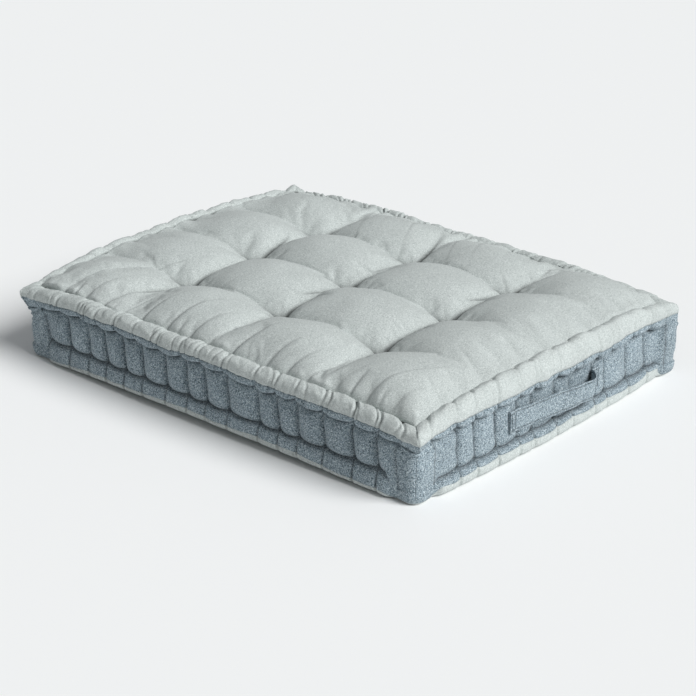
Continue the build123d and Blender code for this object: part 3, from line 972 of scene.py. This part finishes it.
def woven(name, colours, stops, thread, slub, contrast, bump, sheen, roughness=0.95, patch=0.06):
    """Cloth of mixed yarns: colours at stops along the mix, thread width and slub length in metres.

    The threads are drawn two or three times as coarse as real ones, because finer ones would not show.
    """
    material, tree, shader = new_material(name, roughness, ior=1.46)
    shader.inputs["Specular IOR Level"].default_value = 0.25
    shader.inputs["Sheen Weight"].default_value = sheen
    shader.inputs["Sheen Roughness"].default_value = 0.6
    place = add(tree, "ShaderNodeTexCoord").outputs["Object"]
    grains = []
    for scale in ((1 / slub, 1 / thread, 1 / thread), (1 / thread, 1 / slub, 1 / thread),
                  (1 / thread, 1 / thread, 1 / slub)):
        stretched = add(tree, "ShaderNodeMapping", [("Vector", place)], in_Scale=scale)
        grain = add(tree, "ShaderNodeTexNoise", [("Vector", stretched.outputs[0])], in_Scale=1.0,
                    in_Detail=2.0, in_Roughness=0.6)
        grains.append(grain.outputs["Fac"])
    pair = add(tree, "ShaderNodeMath", [(0, grains[0]), (1, grains[1])], operation="ADD")
    total = add(tree, "ShaderNodeMath", [(0, pair.outputs[0]), (1, grains[2])], operation="ADD")
    spread = add(tree, "ShaderNodeMapRange", [("Value", total.outputs[0])], in_From_Min=1.5 - contrast,
                 in_From_Max=1.5 + contrast)
    ramp = add(tree, "ShaderNodeValToRGB", [("Fac", spread.outputs[0])])
    ramp.color_ramp.elements.remove(ramp.color_ramp.elements[1])
    for number, (colour, stop) in enumerate(zip(colours, stops)):
        element = ramp.color_ramp.elements[0] if number == 0 else ramp.color_ramp.elements.new(stop)
        element.position = stop
        element.color = linear(colour)
    wide = add(tree, "ShaderNodeTexNoise", [("Vector", place)], in_Scale=1 / PATCH_SIZE, in_Detail=2.0)
    shade = add(tree, "ShaderNodeMapRange", [("Value", wide.outputs["Fac"])], in_From_Min=0.3,
                in_From_Max=0.7, in_To_Min=1 - patch, in_To_Max=1 + patch)
    tinted = add(tree, "ShaderNodeVectorMath", [(0, ramp.outputs["Color"]), ("Scale", shade.outputs[0])],
                 operation="SCALE")
    # painted shade: the colour is darkened down to a quarter in creases, by each point's painted crease
    # shade
    crease = add(tree, "ShaderNodeAttribute", attribute_name="painted_crease_shade").outputs["Fac"]
    painted_shade_factor = add(tree, "ShaderNodeMapRange", [("Value", crease)], in_To_Min=1.0, in_To_Max=0.25)
    shaded = add(tree, "ShaderNodeVectorMath", [(0, tinted.outputs[0]), ("Scale", painted_shade_factor.outputs[0])],
                 operation="SCALE")
    tree.links.new(shaded.outputs[0], shader.inputs["Base Color"])
    relief = add(tree, "ShaderNodeBump", [("Height", spread.outputs[0])], in_Strength=1.0, in_Distance=bump)
    tree.links.new(relief.outputs["Normal"], shader.inputs["Normal"])
    return material


linen = woven("melange_linen", ("#9ea5a4", "#b8bfbd", "#d1d7d5"), (0.0, 0.5, 1.0), thread=1.4 * MM,
              slub=4.5 * MM, contrast=0.34, bump=0.25 * MM, sheen=0.1, patch=0.03)
heather = woven("heather_weave", ("#2f3d44", "#8797a0", "#ced9dd"), (0.0, 0.52, 1.0), thread=1.5 * MM,
                slub=3.4 * MM, contrast=0.33, bump=0.4 * MM, sheen=0.1)
print("materials", linen.name, heather.name)

# %% [markdown]
# The twine is waxed flax: two or three plies twisted together, so it shows slanted bands of a lit and a
# shaded ply, with a dull wax surface. A diagonal Wave texture gives both. The filling is raw carded cotton,
# cream and quite without shine; noise that is distorted by itself looks like its tangled fibres.

# %% Twine
def spun(name, low, high, wave_scale, roughness=0.85):
    """Twisted twine, between the colours of its shaded and its lit plies.

    A wave_scale of 30 puts a ply about every 20 mm along an axis, coarser than real, so that it shows.
    """
    material, tree, shader = new_material(name, roughness)
    place = add(tree, "ShaderNodeTexCoord").outputs["Object"]
    ply = add(tree, "ShaderNodeTexWave", [("Vector", place)], in_Scale=wave_scale, in_Distortion=2.0)
    ply.bands_direction = "DIAGONAL"
    ramp = add(tree, "ShaderNodeValToRGB", [("Fac", ply.outputs["Fac"])])
    ramp.color_ramp.elements[0].color = linear(low)
    ramp.color_ramp.elements[1].color = linear(high)
    tree.links.new(ramp.outputs["Color"], shader.inputs["Base Color"])
    relief = add(tree, "ShaderNodeBump", [("Height", ply.outputs["Fac"])], in_Strength=0.6,
                 in_Distance=0.2 * MM)
    tree.links.new(relief.outputs["Normal"], shader.inputs["Normal"])
    return material


flax_twine = spun("waxed_flax_twine", "#a9a08c", "#d2cab8", 30)
pale_thread = spun("pale_stitch_thread", "#a3a9a8", "#d4d9d7", 35)
dark_thread = spun("dark_stitch_thread", "#3c4a50", "#6b7a81", 35)
print("twines", flax_twine.name, pale_thread.name, dark_thread.name)

# %% Raw cotton
FIBRE_SCALE = 220.0  # clumps of fibre per metre


def cotton(name):
    """Raw carded cotton: cream, fibrous and without any shine."""
    material, tree, shader = new_material(name, 1.0)
    shader.inputs["Sheen Weight"].default_value = 0.2
    place = add(tree, "ShaderNodeTexCoord").outputs["Object"]
    fibre = add(tree, "ShaderNodeTexNoise", [("Vector", place)], in_Scale=FIBRE_SCALE, in_Detail=5.0,
                in_Roughness=0.7, in_Distortion=1.5)
    ramp = add(tree, "ShaderNodeValToRGB", [("Fac", fibre.outputs["Fac"])])
    ramp.color_ramp.elements[0].position, ramp.color_ramp.elements[1].position = 0.3, 0.7
    ramp.color_ramp.elements[0].color = linear("#d9d2c1")
    ramp.color_ramp.elements[1].color = linear("#f1ece0")
    tree.links.new(ramp.outputs["Color"], shader.inputs["Base Color"])
    relief = add(tree, "ShaderNodeBump", [("Height", fibre.outputs["Fac"])], in_Strength=1.0,
                 in_Distance=1.5 * MM)
    tree.links.new(relief.outputs["Normal"], shader.inputs["Normal"])
    return material


raw_cotton = cotton("raw_cotton")
print("filling", raw_cotton.name)

# %% [markdown]
# ## The carrying strap
#
# The strap is a folded band of the same heather cloth, 44 mm wide, sewn down at both ends and slack between
# them. It bows away from the side, more towards one end, so a hand can go behind it. Webbing is too thin to
# simulate well, so it is swept here: a section with rounded edges and a sunk stitch line near each edge
# follows a bowed path, and the folded end shows as a thicker tab.

# %% Strap path
strap_low, strap_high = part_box("handle_strap")
left_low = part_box("handle_end_left")[0]
right_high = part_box("handle_end_right")[1]
STRAP_MID_Z = (strap_low[2] + strap_high[2]) / 2
STRAP_HALF = (strap_high[2] - strap_low[2]) / 2 + 2 * MM  # pressed flat, so wider than the CAD strap
STRAP_THICK = 2.6 * MM
STRAP_LIFT = 4 * MM  # the swollen band carries the strap a little higher
STRAP_OUT = strap_high[0] - left_low[0]  # how far it stands out at its peak
STRAP_PEAK_Y = 84 * MM
SEWN = 22 * MM  # length of each sewn-down end
TAB = 13 * MM  # the first end is folded back on itself
STRAP_STEPS, STRAP_ACROSS = 240, 26


def band_face(y):
    """How far out the swollen band lies behind the strap, at places along it."""
    points = band_grid.reshape(-1, 3)
    behind = points[(points[:, 0] > 0) & (np.abs(points[:, 2] - STRAP_MID_Z) < STRAP_HALF)]
    samples = np.arange(left_low[1] - 10 * MM, right_high[1] + 12 * MM, 10 * MM)
    faces = [behind[np.abs(behind[:, 1] - sample) < 14 * MM][:, 0].max() for sample in samples]
    return np.interp(y, samples, faces)


def strap_path(y):
    """How far the strap's middle stands out from the band at a place along it."""
    start, end = left_low[1] + SEWN, right_high[1] - SEWN
    left = np.clip((y - start) / (STRAP_PEAK_Y - start), 0, 1) ** 1.1
    right = smooth((end - y) / (end - STRAP_PEAK_Y)) ** 0.5
    return np.where(y < STRAP_PEAK_Y, left, right) * (STRAP_OUT - STRAP_THICK)


STRAP_FACE = float(band_face(np.array([left_low[1], right_high[1]])).max())
print("strap lies on the band at", round(STRAP_FACE, 4), "and stands out", round(STRAP_OUT, 4), "from it")

# %% Strap mesh
SEAM_IN, SEAM_WIDTH, SEAM_SINK = 4.5 * MM, 1.2 * MM, 0.8 * MM  # the stitch line sunk near each edge


def close_ends(piece, rows, columns):
    """Cap the first and last rows of a closed grid, and turn every face outwards."""
    shape = bmesh.new()
    shape.from_mesh(piece.data)
    shape.verts.ensure_lookup_table()
    shape.faces.new([shape.verts[i] for i in range(columns)])
    shape.faces.new([shape.verts[(rows - 1) * columns + i] for i in range(columns)])
    bmesh.ops.recalc_face_normals(shape, faces=shape.faces)
    shape.to_mesh(piece.data)
    shape.free()


def make_strap():
    """A closed band: the front face, the back face and both rounded edges round one loop of points."""
    y = np.linspace(left_low[1], right_high[1], STRAP_STEPS)
    loop = np.linspace(0, 2 * math.pi, 2 * STRAP_ACROSS, endpoint=False)
    across = np.sign(np.cos(loop)) * np.abs(np.cos(loop)) ** 0.35
    face = np.sin(loop)
    thick = np.sign(face) * np.abs(face) ** 0.45 * STRAP_THICK / 2
    from_edge = (1 - np.abs(across)) * STRAP_HALF
    stitch_line = SEAM_SINK * hill((from_edge - SEAM_IN) / SEAM_WIDTH) * np.sign(face)
    pucker = 1 + 0.6 * np.sin(y / (4 * MM) * math.pi)[:, None]
    grown = 1 + 1.5 * smooth((left_low[1] + TAB - y) / (1.5 * MM))[:, None]
    out = band_face(y)[:, None] + STRAP_THICK / 2 + strap_path(y)[:, None] + thick[None, :] * grown
    out = out - stitch_line[None, :] * pucker
    tilt = 0.12 * smooth((y - 10 * MM) / (60 * MM))[:, None] * across[None, :] * STRAP_HALF
    wave = 1.2 * MM * value_noise(y / (50 * MM), 0.0, 91, 2)[:, None] * (1 + 0.8 * across[None, :])
    free = smooth(strap_path(y) / (6 * MM))[:, None]
    out = out + (tilt + wave) * free
    z = STRAP_MID_Z + STRAP_LIFT + np.zeros_like(y)[:, None] + across[None, :] * STRAP_HALF
    points = np.stack([out, np.broadcast_to(y[:, None], out.shape), z], axis=-1)
    from_tab = np.abs(y - left_low[1] - TAB)[:, None]
    # painted shade along the folded tab's edge and in the sunk stitch lines
    shade = 0.9 * nip(from_tab / (1.5 * MM)) + 0.7 * np.abs(stitch_line[None, :]) / SEAM_SINK
    piece = grid_mesh("handle_strap_cloth", points, closed=True, shade=shade)
    close_ends(piece, len(y), len(loop))
    return piece


strap_piece = make_strap()
print("strap", len(strap_piece.data.polygons), "faces")

# %% [markdown]
# ## The filling
#
# Under the cloth lie six cotton batts and two ropes of fibre in the rolls. Nobody sees them on the finished
# mattress, but they are what fills it, so each is its own closed piece that follows the cloth from inside.
# A batt is two grids, its lower and upper faces, joined round the edge.

# %% Batts
CLOTH_CLEAR = 9 * MM  # kept free under the sleeping surface
FLOOR_CLEAR = 3 * MM  # kept free above the lower cloth
WIDE_BATTS = (2, 3, 4)  # the batts at the height of the band reach further out
WIDE_INSET, NARROW_INSET = 24 * MM, 40 * MM
BATT_UNEVEN, BATT_LUMP = 0.6 * MM, 40 * MM


def make_batt(name, inset, low, high):
    """A cotton layer between two heights, pressed down where the cloth above it is lower."""
    reach_x, reach_y = HALF_X - inset, HALF_Y - inset
    x, y = np.meshgrid(np.linspace(-reach_x, reach_x, 81), np.linspace(-reach_y, reach_y, 65))
    ceiling = edge_height(x, y) - CLOTH_CLEAR - tuft_creases(x, y)
    lumps = BATT_UNEVEN * value_noise(x / BATT_LUMP, y / BATT_LUMP, 101, 2)
    top = np.minimum(high + lumps, ceiling)
    floor = underside_height(x, y) + FLOOR_CLEAR
    bottom = np.minimum(np.maximum(low, floor), ceiling - 1.5 * MM)
    top = np.maximum(top, bottom + 1 * MM)
    lower = np.stack([x, y, bottom], axis=-1)
    upper = np.stack([x, y, top], axis=-1)[:, ::-1]
    piece = grid_mesh(name, np.concatenate([lower, upper], axis=1), closed=True)
    close_ends(piece, len(x), 2 * x.shape[1])
    return piece


batt_pieces = []
for number in range(1, 7):
    node = f"cotton_batt_{number}"
    low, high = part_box(node)
    inset = WIDE_INSET if number in WIDE_BATTS else NARROW_INSET
    piece = make_batt(node + "_fill", inset, low[2], high[2])
    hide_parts(node)
    batt_pieces.append(piece)
print("batts", [piece.name for piece in batt_pieces])

# %% [markdown]
# Each roll is packed with a rope of loose fibre that the side stitches hold in place. It is a round tube
# that follows the columns of the edge, a little thinner than its roll, and closed where it meets itself.

# %% Fibre in the rolls
ROLL_CLEAR = 5 * MM  # kept free inside the top roll
BASE_FIBRE_Z, BASE_FIBRE_INSET, BASE_FIBRE_R = 14 * MM, 19 * MM, 6 * MM
FIBRE_SIDES = 12
FIBRE_EVERY = 4  # a plain rope needs only one column in four


def make_roll_fill(name, heights, centre_inset, radius):
    """A closed rope of fibre along the edge, at a height for each column."""
    angles = np.linspace(0, 2 * math.pi, FIBRE_SIDES + 1)
    insets = [centre_inset - radius * np.cos(angle) for angle in angles]
    rises = [heights + radius * np.sin(angle) for angle in angles]
    piece = grid_mesh(name, surface(insets, rises)[:, ::FIBRE_EVERY], closed=True)
    shape = bmesh.new()
    shape.from_mesh(piece.data)
    bmesh.ops.remove_doubles(shape, verts=shape.verts, dist=1e-6)
    bmesh.ops.recalc_face_normals(shape, faces=shape.faces)
    shape.to_mesh(piece.data)
    shape.free()
    return piece


top_centre = SEAM_Z + ROLL_LIFT + 0.5 * ROLL_TALL
top_fill = make_roll_fill("top_roll_fibre", top_centre, ROLL_R, ROLL_R - ROLL_CLEAR)
bottom_fill = make_roll_fill("bottom_roll_fibre", BASE_FIBRE_Z + BASE_LIFT, BASE_FIBRE_INSET, BASE_FIBRE_R)
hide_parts("top_roll_filling")
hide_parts("bottom_roll_filling")
fill_pieces = [*batt_pieces, top_fill, bottom_fill]
print("ropes", top_fill.name, bottom_fill.name)

# %% [markdown]
# ## Twine and stitches
#
# Every stitch is the same little arc of twine, so one is made in Geometry Nodes and repeated. The points
# carry two attributes: how each stitch is turned, and how long and thick it is. The tree draws the arc as a
# curve, gives it a round section, puts it on the points and realises the copies, because a plain mesh is
# what travels to other programs.

# %% Stitch tree
def stitch_tree():
    """Geometry nodes: an arc of twine one metre long, instanced on points by their attributes."""
    tree = bpy.data.node_groups.new("twine_stitches", "GeometryNodeTree")
    face = tree.interface
    face.new_socket("Geometry", in_out="INPUT", socket_type="NodeSocketGeometry")
    for label, value in (("Twine Radius", 0.7 * MM), ("Rise", 1.5 * MM)):
        socket = face.new_socket(label, in_out="INPUT", socket_type="NodeSocketFloat")
        socket.default_value = value
    seed = face.new_socket("Seed", in_out="INPUT", socket_type="NodeSocketInt")
    seed.default_value = 4
    face.new_socket("Material", in_out="INPUT", socket_type="NodeSocketMaterial")
    face.new_socket("Geometry", in_out="OUTPUT", socket_type="NodeSocketGeometry")
    given = add(tree, "NodeGroupInput")
    middle = add(tree, "ShaderNodeCombineXYZ", [("Z", given.outputs["Rise"])])
    arc = add(tree, "GeometryNodeCurveQuadraticBezier", [("Middle", middle.outputs[0])], in_Resolution=8,
              in_Start=(-0.5, 0, 0), in_End=(0.5, 0, 0))
    section = add(tree, "GeometryNodeCurvePrimitiveCircle", [("Radius", given.outputs["Twine Radius"])],
                  in_Resolution=7)
    twine = add(tree, "GeometryNodeCurveToMesh", [("Curve", arc.outputs[0]),
                                                  ("Profile Curve", section.outputs["Curve"])])
    twine.inputs["Fill Caps"].default_value = True
    turn = add(tree, "GeometryNodeInputNamedAttribute", data_type="FLOAT_VECTOR", in_Name="turn")
    size = add(tree, "GeometryNodeInputNamedAttribute", data_type="FLOAT_VECTOR", in_Name="size")
    rotation = add(tree, "FunctionNodeEulerToRotation", [(0, turn.outputs["Attribute"])])
    vary = add(tree, "FunctionNodeRandomValue", [("Seed", given.outputs["Seed"])], data_type="FLOAT_VECTOR")
    vary.inputs["Min"].default_value = (0.88, 0.95, 0.9)
    vary.inputs["Max"].default_value = (1.08, 1.1, 1.2)
    scale = add(tree, "ShaderNodeVectorMath", [(0, size.outputs["Attribute"]), (1, vary.outputs["Value"])],
                operation="MULTIPLY")
    copies = add(tree, "GeometryNodeInstanceOnPoints", [("Points", given.outputs["Geometry"]),
                                                        ("Instance", twine.outputs["Mesh"]),
                                                        ("Rotation", rotation.outputs[0]),
                                                        ("Scale", scale.outputs[0])])
    real = add(tree, "GeometryNodeRealizeInstances", [("Geometry", copies.outputs[0])])
    dressed = add(tree, "GeometryNodeSetMaterial", [("Geometry", real.outputs[0]),
                                                    ("Material", given.outputs["Material"])])
    add(tree, "NodeGroupOutput", [("Geometry", dressed.outputs[0])])
    return tree, {item.name: item.identifier for item in face.items_tree if item.in_out == "INPUT"}


STITCH_TREE, STITCH_INPUTS = stitch_tree()
print("stitch tree takes", ", ".join(STITCH_INPUTS))

# %% Points to twine
def make_stitches(name, places, turns, sizes, material, radius):
    """Run the stitch tree on points and keep the result as a plain mesh."""
    mesh = bpy.data.meshes.new(name + "_points")
    mesh.from_pydata([list(map(float, place)) for place in places], [], [])
    for label, values in (("turn", turns), ("size", sizes)):
        layer = mesh.attributes.new(label, "FLOAT_VECTOR", "POINT")
        layer.data.foreach_set("vector", np.array(values, float).ravel())
    guide = new_object(name + "_points", mesh)
    modifier = guide.modifiers.new("stitches", "NODES")
    modifier.node_group = STITCH_TREE
    modifier[STITCH_INPUTS["Twine Radius"]] = radius
    modifier[STITCH_INPUTS["Material"]] = material
    graph = bpy.context.evaluated_depsgraph_get()
    made = bpy.data.meshes.new_from_object(guide.evaluated_get(graph))
    bpy.data.objects.remove(guide)
    made.name = name
    made.polygons.foreach_set("use_smooth", [True] * len(made.polygons))
    print(name, len(made.polygons), "faces")
    return new_object(name, made)

# %% [markdown]
# Four runs of stitches go round the mattress. Two lie in the stitch lines of the band and are sewn with dark
# thread, and two lie in the grooves inside the rolls and are sewn with pale thread. A run needs a row of
# points that it follows. The heading of each stitch is taken from the points on either side of it, and each
# stitch is tipped so that its arc rises out of the cloth. The first and last of each side are left out,
# where the corners are sewn by hand.

# %% Runs of stitches
STITCH_LENGTH = 34 * MM
STITCH_RADIUS = 0.8 * MM
STITCH_OUT = 0.8 * MM  # a side stitch lies this far proud of its line
AHEAD = 6  # columns on either side that give a stitch its heading
LINE_ROW = CRESCENT_ROWS - 1  # row of the band grid that lies in the upper stitch line
LOW_ROW = CRESCENT_ROWS + LOBE_ROWS - 1


def line_stitches(grid_row, shift, outward, tip):
    """Places, turns and sizes of one run of stitches that follows a row of points round the mattress."""
    places, turns, sizes = [], [], []
    for number in range(4):
        on_side = (SIDE == number) & (TURN == 0)
        start, end = LENGTH[on_side][0], LENGTH[on_side][-1]
        own = [s for s in STITCHES if start < s < end][1:-1]
        for s in own:
            column = int(np.argmin(np.abs(LENGTH - s - shift[number])))
            ahead = grid_row[(column + AHEAD) % len(SIDE)] - grid_row[column - AHEAD]
            heading = math.atan2(ahead[1], ahead[0])
            out = np.array([math.sin(heading), -math.cos(heading), 0.0]) * outward
            places.append(grid_row[column] + out)
            turns.append((tip, 0, heading))
            sizes.append((STITCH_LENGTH, 1, 1))
    return places, turns, sizes


LEANS = [LEAN, SHORT_LEAN, LEAN, SHORT_LEAN]
NO_LEAN = [0, 0, 0, 0]
SIDEWAYS, UPWARDS, DOWNWARDS = math.pi / 2, 0, math.pi  # which way the arc of a stitch rises
GROOVE_RING = surface([24.2 * MM], [SEAM_Z + ROLL_TALL + 19.5 * MM])[0]
BASE_RING = surface([29 * MM], [5 * MM + 0.6 * BASE_LIFT])[0]
runs = {
    "top_roll_side_stitches": (band_grid[LINE_ROW], NO_LEAN, STITCH_OUT, SIDEWAYS, dark_thread),
    "bottom_roll_side_stitches": (band_grid[LOW_ROW], LEANS, STITCH_OUT, SIDEWAYS, dark_thread),
    "top_roll_groove_stitches": (GROOVE_RING, NO_LEAN, 0, UPWARDS, pale_thread),
    "bottom_roll_groove_stitches": (BASE_RING, NO_LEAN, 0, DOWNWARDS, pale_thread),
}
stitch_pieces = []
for node, (row, shift, outward, tip, material) in runs.items():
    places, turns, sizes = line_stitches(row, shift, outward, tip)
    piece = make_stitches(node + "_twine", places, turns, sizes, material, STITCH_RADIUS)
    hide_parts(node)
    stitch_pieces.append(piece)

# %% [markdown]
# A tuft's twine shows as a short loop in its dimple, runs straight down through the batts, and ends in a
# knot under the lower cloth. So each tuft takes three copies of the arc: one flat, one stood on end and
# one turned over and thick. The strap's ends are held by short rows of small tacks across it.

# %% Tuft twines
TUFT_LOOP, KNOT_LENGTH = 13 * MM, 7 * MM
KNOT_Z = 9 * MM
TUFT_RADIUS = 0.9 * MM
places, turns, sizes = [], [], []
crown_points = coordinates(crown_piece.data)
for x, y in TUFTS:
    nearest = np.argmin(np.hypot(crown_points[:, 0] - x, crown_points[:, 1] - y))
    top = crown_points[nearest, 2] + 0.8 * MM
    places += [(x, y, top), (x, y, (top + KNOT_Z) / 2), (x, y, KNOT_Z)]
    turns += [(0, 0, 0.3), (0, math.pi / 2, 0), (math.pi, 0, 0.8)]
    sizes += [(TUFT_LOOP, 1.5, 1.5), ((top - KNOT_Z) * 0.98, 1, 1), (KNOT_LENGTH, 3.2, 3.2)]
tie_piece = make_stitches("tuft_ties_twine", places, turns, sizes, flax_twine, TUFT_RADIUS)
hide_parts("tuft_ties")

# %% Strap tacks
TACK_ROW = 33 * MM
TACKS = 9  # in each row
TACK_RADIUS = 0.6 * MM
TACK_OUTER, TACK_INNER = 4 * MM, 18 * MM  # the two rows of each end, in from the strap's tip
TACK_Y = [left_low[1] + TACK_OUTER, left_low[1] + TACK_INNER]
TACK_Y += [right_high[1] - TACK_INNER, right_high[1] - TACK_OUTER]
places, turns, sizes = [], [], []
for y in TACK_Y:
    folded = 1.5 if y < left_low[1] + TAB else 0
    face = float(band_face(y)) + STRAP_THICK * (1 + folded / 2) + 0.5 * MM + float(strap_path(y))
    for step in range(TACKS):
        z = STRAP_MID_Z + STRAP_LIFT + (step - TACKS // 2) * TACK_ROW / TACKS
        places.append((face, y, z))
        turns.append((0, math.pi / 2, 0))
        sizes.append((TACK_ROW / TACKS * 0.72, 0.8, 0.8))
tack_piece = make_stitches("handle_tack_stitches_thread", places, turns, sizes, dark_thread, TACK_RADIUS)
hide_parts("handle_tack_stitches")
stitch_pieces += [tie_piece, tack_piece]

# %% [markdown]
# ## Cloth thickness and bodies
#
# A sheet with no thickness has no inside, and a torn edge would show it. So a live Solidify closes each open
# cloth into a thin shell. Then the cloth, the fillings and the stitches are attached to the body they ride
# on, the mattress, and the CAD parts they replace are hidden. The strap is attached to no body; its place is
# baked into its mesh.

# %% Cloth thickness
PALE_PIECES = (roll_piece, crown_piece, bottom_roll_piece, underside_piece)
CLOTH_THICKNESS = 1.5 * MM


def give_thickness(piece):
    """Close an open cloth into a shell: its outer face stays, and an inner face is added below it."""
    shell = piece.modifiers.new("cloth thickness", "SOLIDIFY")
    shell.thickness = CLOTH_THICKNESS
    shell.offset = -1


for piece in (*PALE_PIECES, *band_pieces):
    piece.data.materials.append(heather if piece in band_pieces else linen)
    give_thickness(piece)
    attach(piece, "mattress")
print("cloths", len(PALE_PIECES) + len(band_pieces), "each", CLOTH_THICKNESS, "m thick")

# %% Pieces and bodies
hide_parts("top_panel")
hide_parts("bottom_panel")
for piece, node in zip(band_pieces, BAND_NAMES):
    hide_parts(node)
strap_piece.data.materials.append(heather)
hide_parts("handle_strap", "handle_end_left", "handle_end_right")
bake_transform(strap_piece)
for piece in fill_pieces:
    piece.data.materials.append(raw_cotton)
    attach(piece, "mattress")
for piece in stitch_pieces:
    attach(piece, "mattress")
print("strap, fillings and stitches", 1 + len(fill_pieces) + len(stitch_pieces), "pieces")

# %% [markdown]
# ## Floor, light and camera
#
# A pale floor and even, soft daylight from one side show a pale cloth best: the light rakes across the puffs
# from the side of the strap, and the world's faint glow keeps the creases from going black. The camera
# stands off a corner of the mattress with a long lens, as for a catalogue.

# %% Floor
FLOOR_REACH = 8.0


def make_floor():
    """A flat square of pale studio floor."""
    mesh = bpy.data.meshes.new("floor")
    near, far = -FLOOR_REACH, FLOOR_REACH
    mesh.from_pydata([(near, near, 0), (far, near, 0), (far, far, 0), (near, far, 0)], [], [(0, 1, 2, 3)])
    floor = new_object("floor", mesh)
    material, _, shader = new_material("studio_floor", 0.9)
    shader.inputs["Base Color"].default_value = linear("#f4f5f5")
    floor.data.materials.append(material)


make_floor()
print("floor", 2 * FLOOR_REACH, "m wide")

# %% Light
def sun(name, place, spread, power):
    """An even studio light from the direction of a place, soft by its spread in degrees."""
    light = bpy.data.lights.new(name, "SUN")
    light.angle = math.radians(spread)
    light.energy = power
    lamp = new_object(name, light)
    lamp.location = place
    lamp.rotation_euler = (-Vector(place)).to_track_quat("-Z", "Y").to_euler()


sun("key", (2.8, 0.5, 2.5), 35, 3.35)
world = bpy.data.worlds.new("studio")
world.use_nodes = True
world.node_tree.nodes["Background"].inputs["Color"].default_value = (0.95, 0.98, 1.0, 1)
world.node_tree.nodes["Background"].inputs["Strength"].default_value = 0.27
bpy.context.scene.world = world
bpy.context.scene.view_settings.view_transform = "Standard"
print("one sun and the world's glow")

# %% Camera
CAMERA_PLACE = Vector((2.592, -3.047, 1.768))
CAMERA_HEADING = math.radians(130.37)
CAMERA_PITCH = math.radians(23.46)
CAMERA_ROLL = 0.0148
FOCAL_RATIO = 3.1635  # focal length over the picture's width
SENSOR_WIDTH = 36

camera_data = bpy.data.cameras.new("camera")
camera_data.sensor_width = SENSOR_WIDTH
camera_data.lens = SENSOR_WIDTH * FOCAL_RATIO
camera = new_object("camera", camera_data)
forward = Vector((math.cos(CAMERA_HEADING) * math.cos(CAMERA_PITCH),
                  math.sin(CAMERA_HEADING) * math.cos(CAMERA_PITCH), -math.sin(CAMERA_PITCH)))
right = Vector((math.sin(CAMERA_HEADING), -math.cos(CAMERA_HEADING), 0))
up = right.cross(forward)
right, up = (right * math.cos(CAMERA_ROLL) + up * math.sin(CAMERA_ROLL),
             up * math.cos(CAMERA_ROLL) - right * math.sin(CAMERA_ROLL))
facing = Matrix((right, up, -forward)).transposed().to_4x4()
camera.matrix_world = Matrix.Translation(CAMERA_PLACE) @ facing
bpy.context.scene.camera = camera
print("camera", round(CAMERA_PLACE.length, 2), "m away, lens", round(camera_data.lens, 1), "mm")
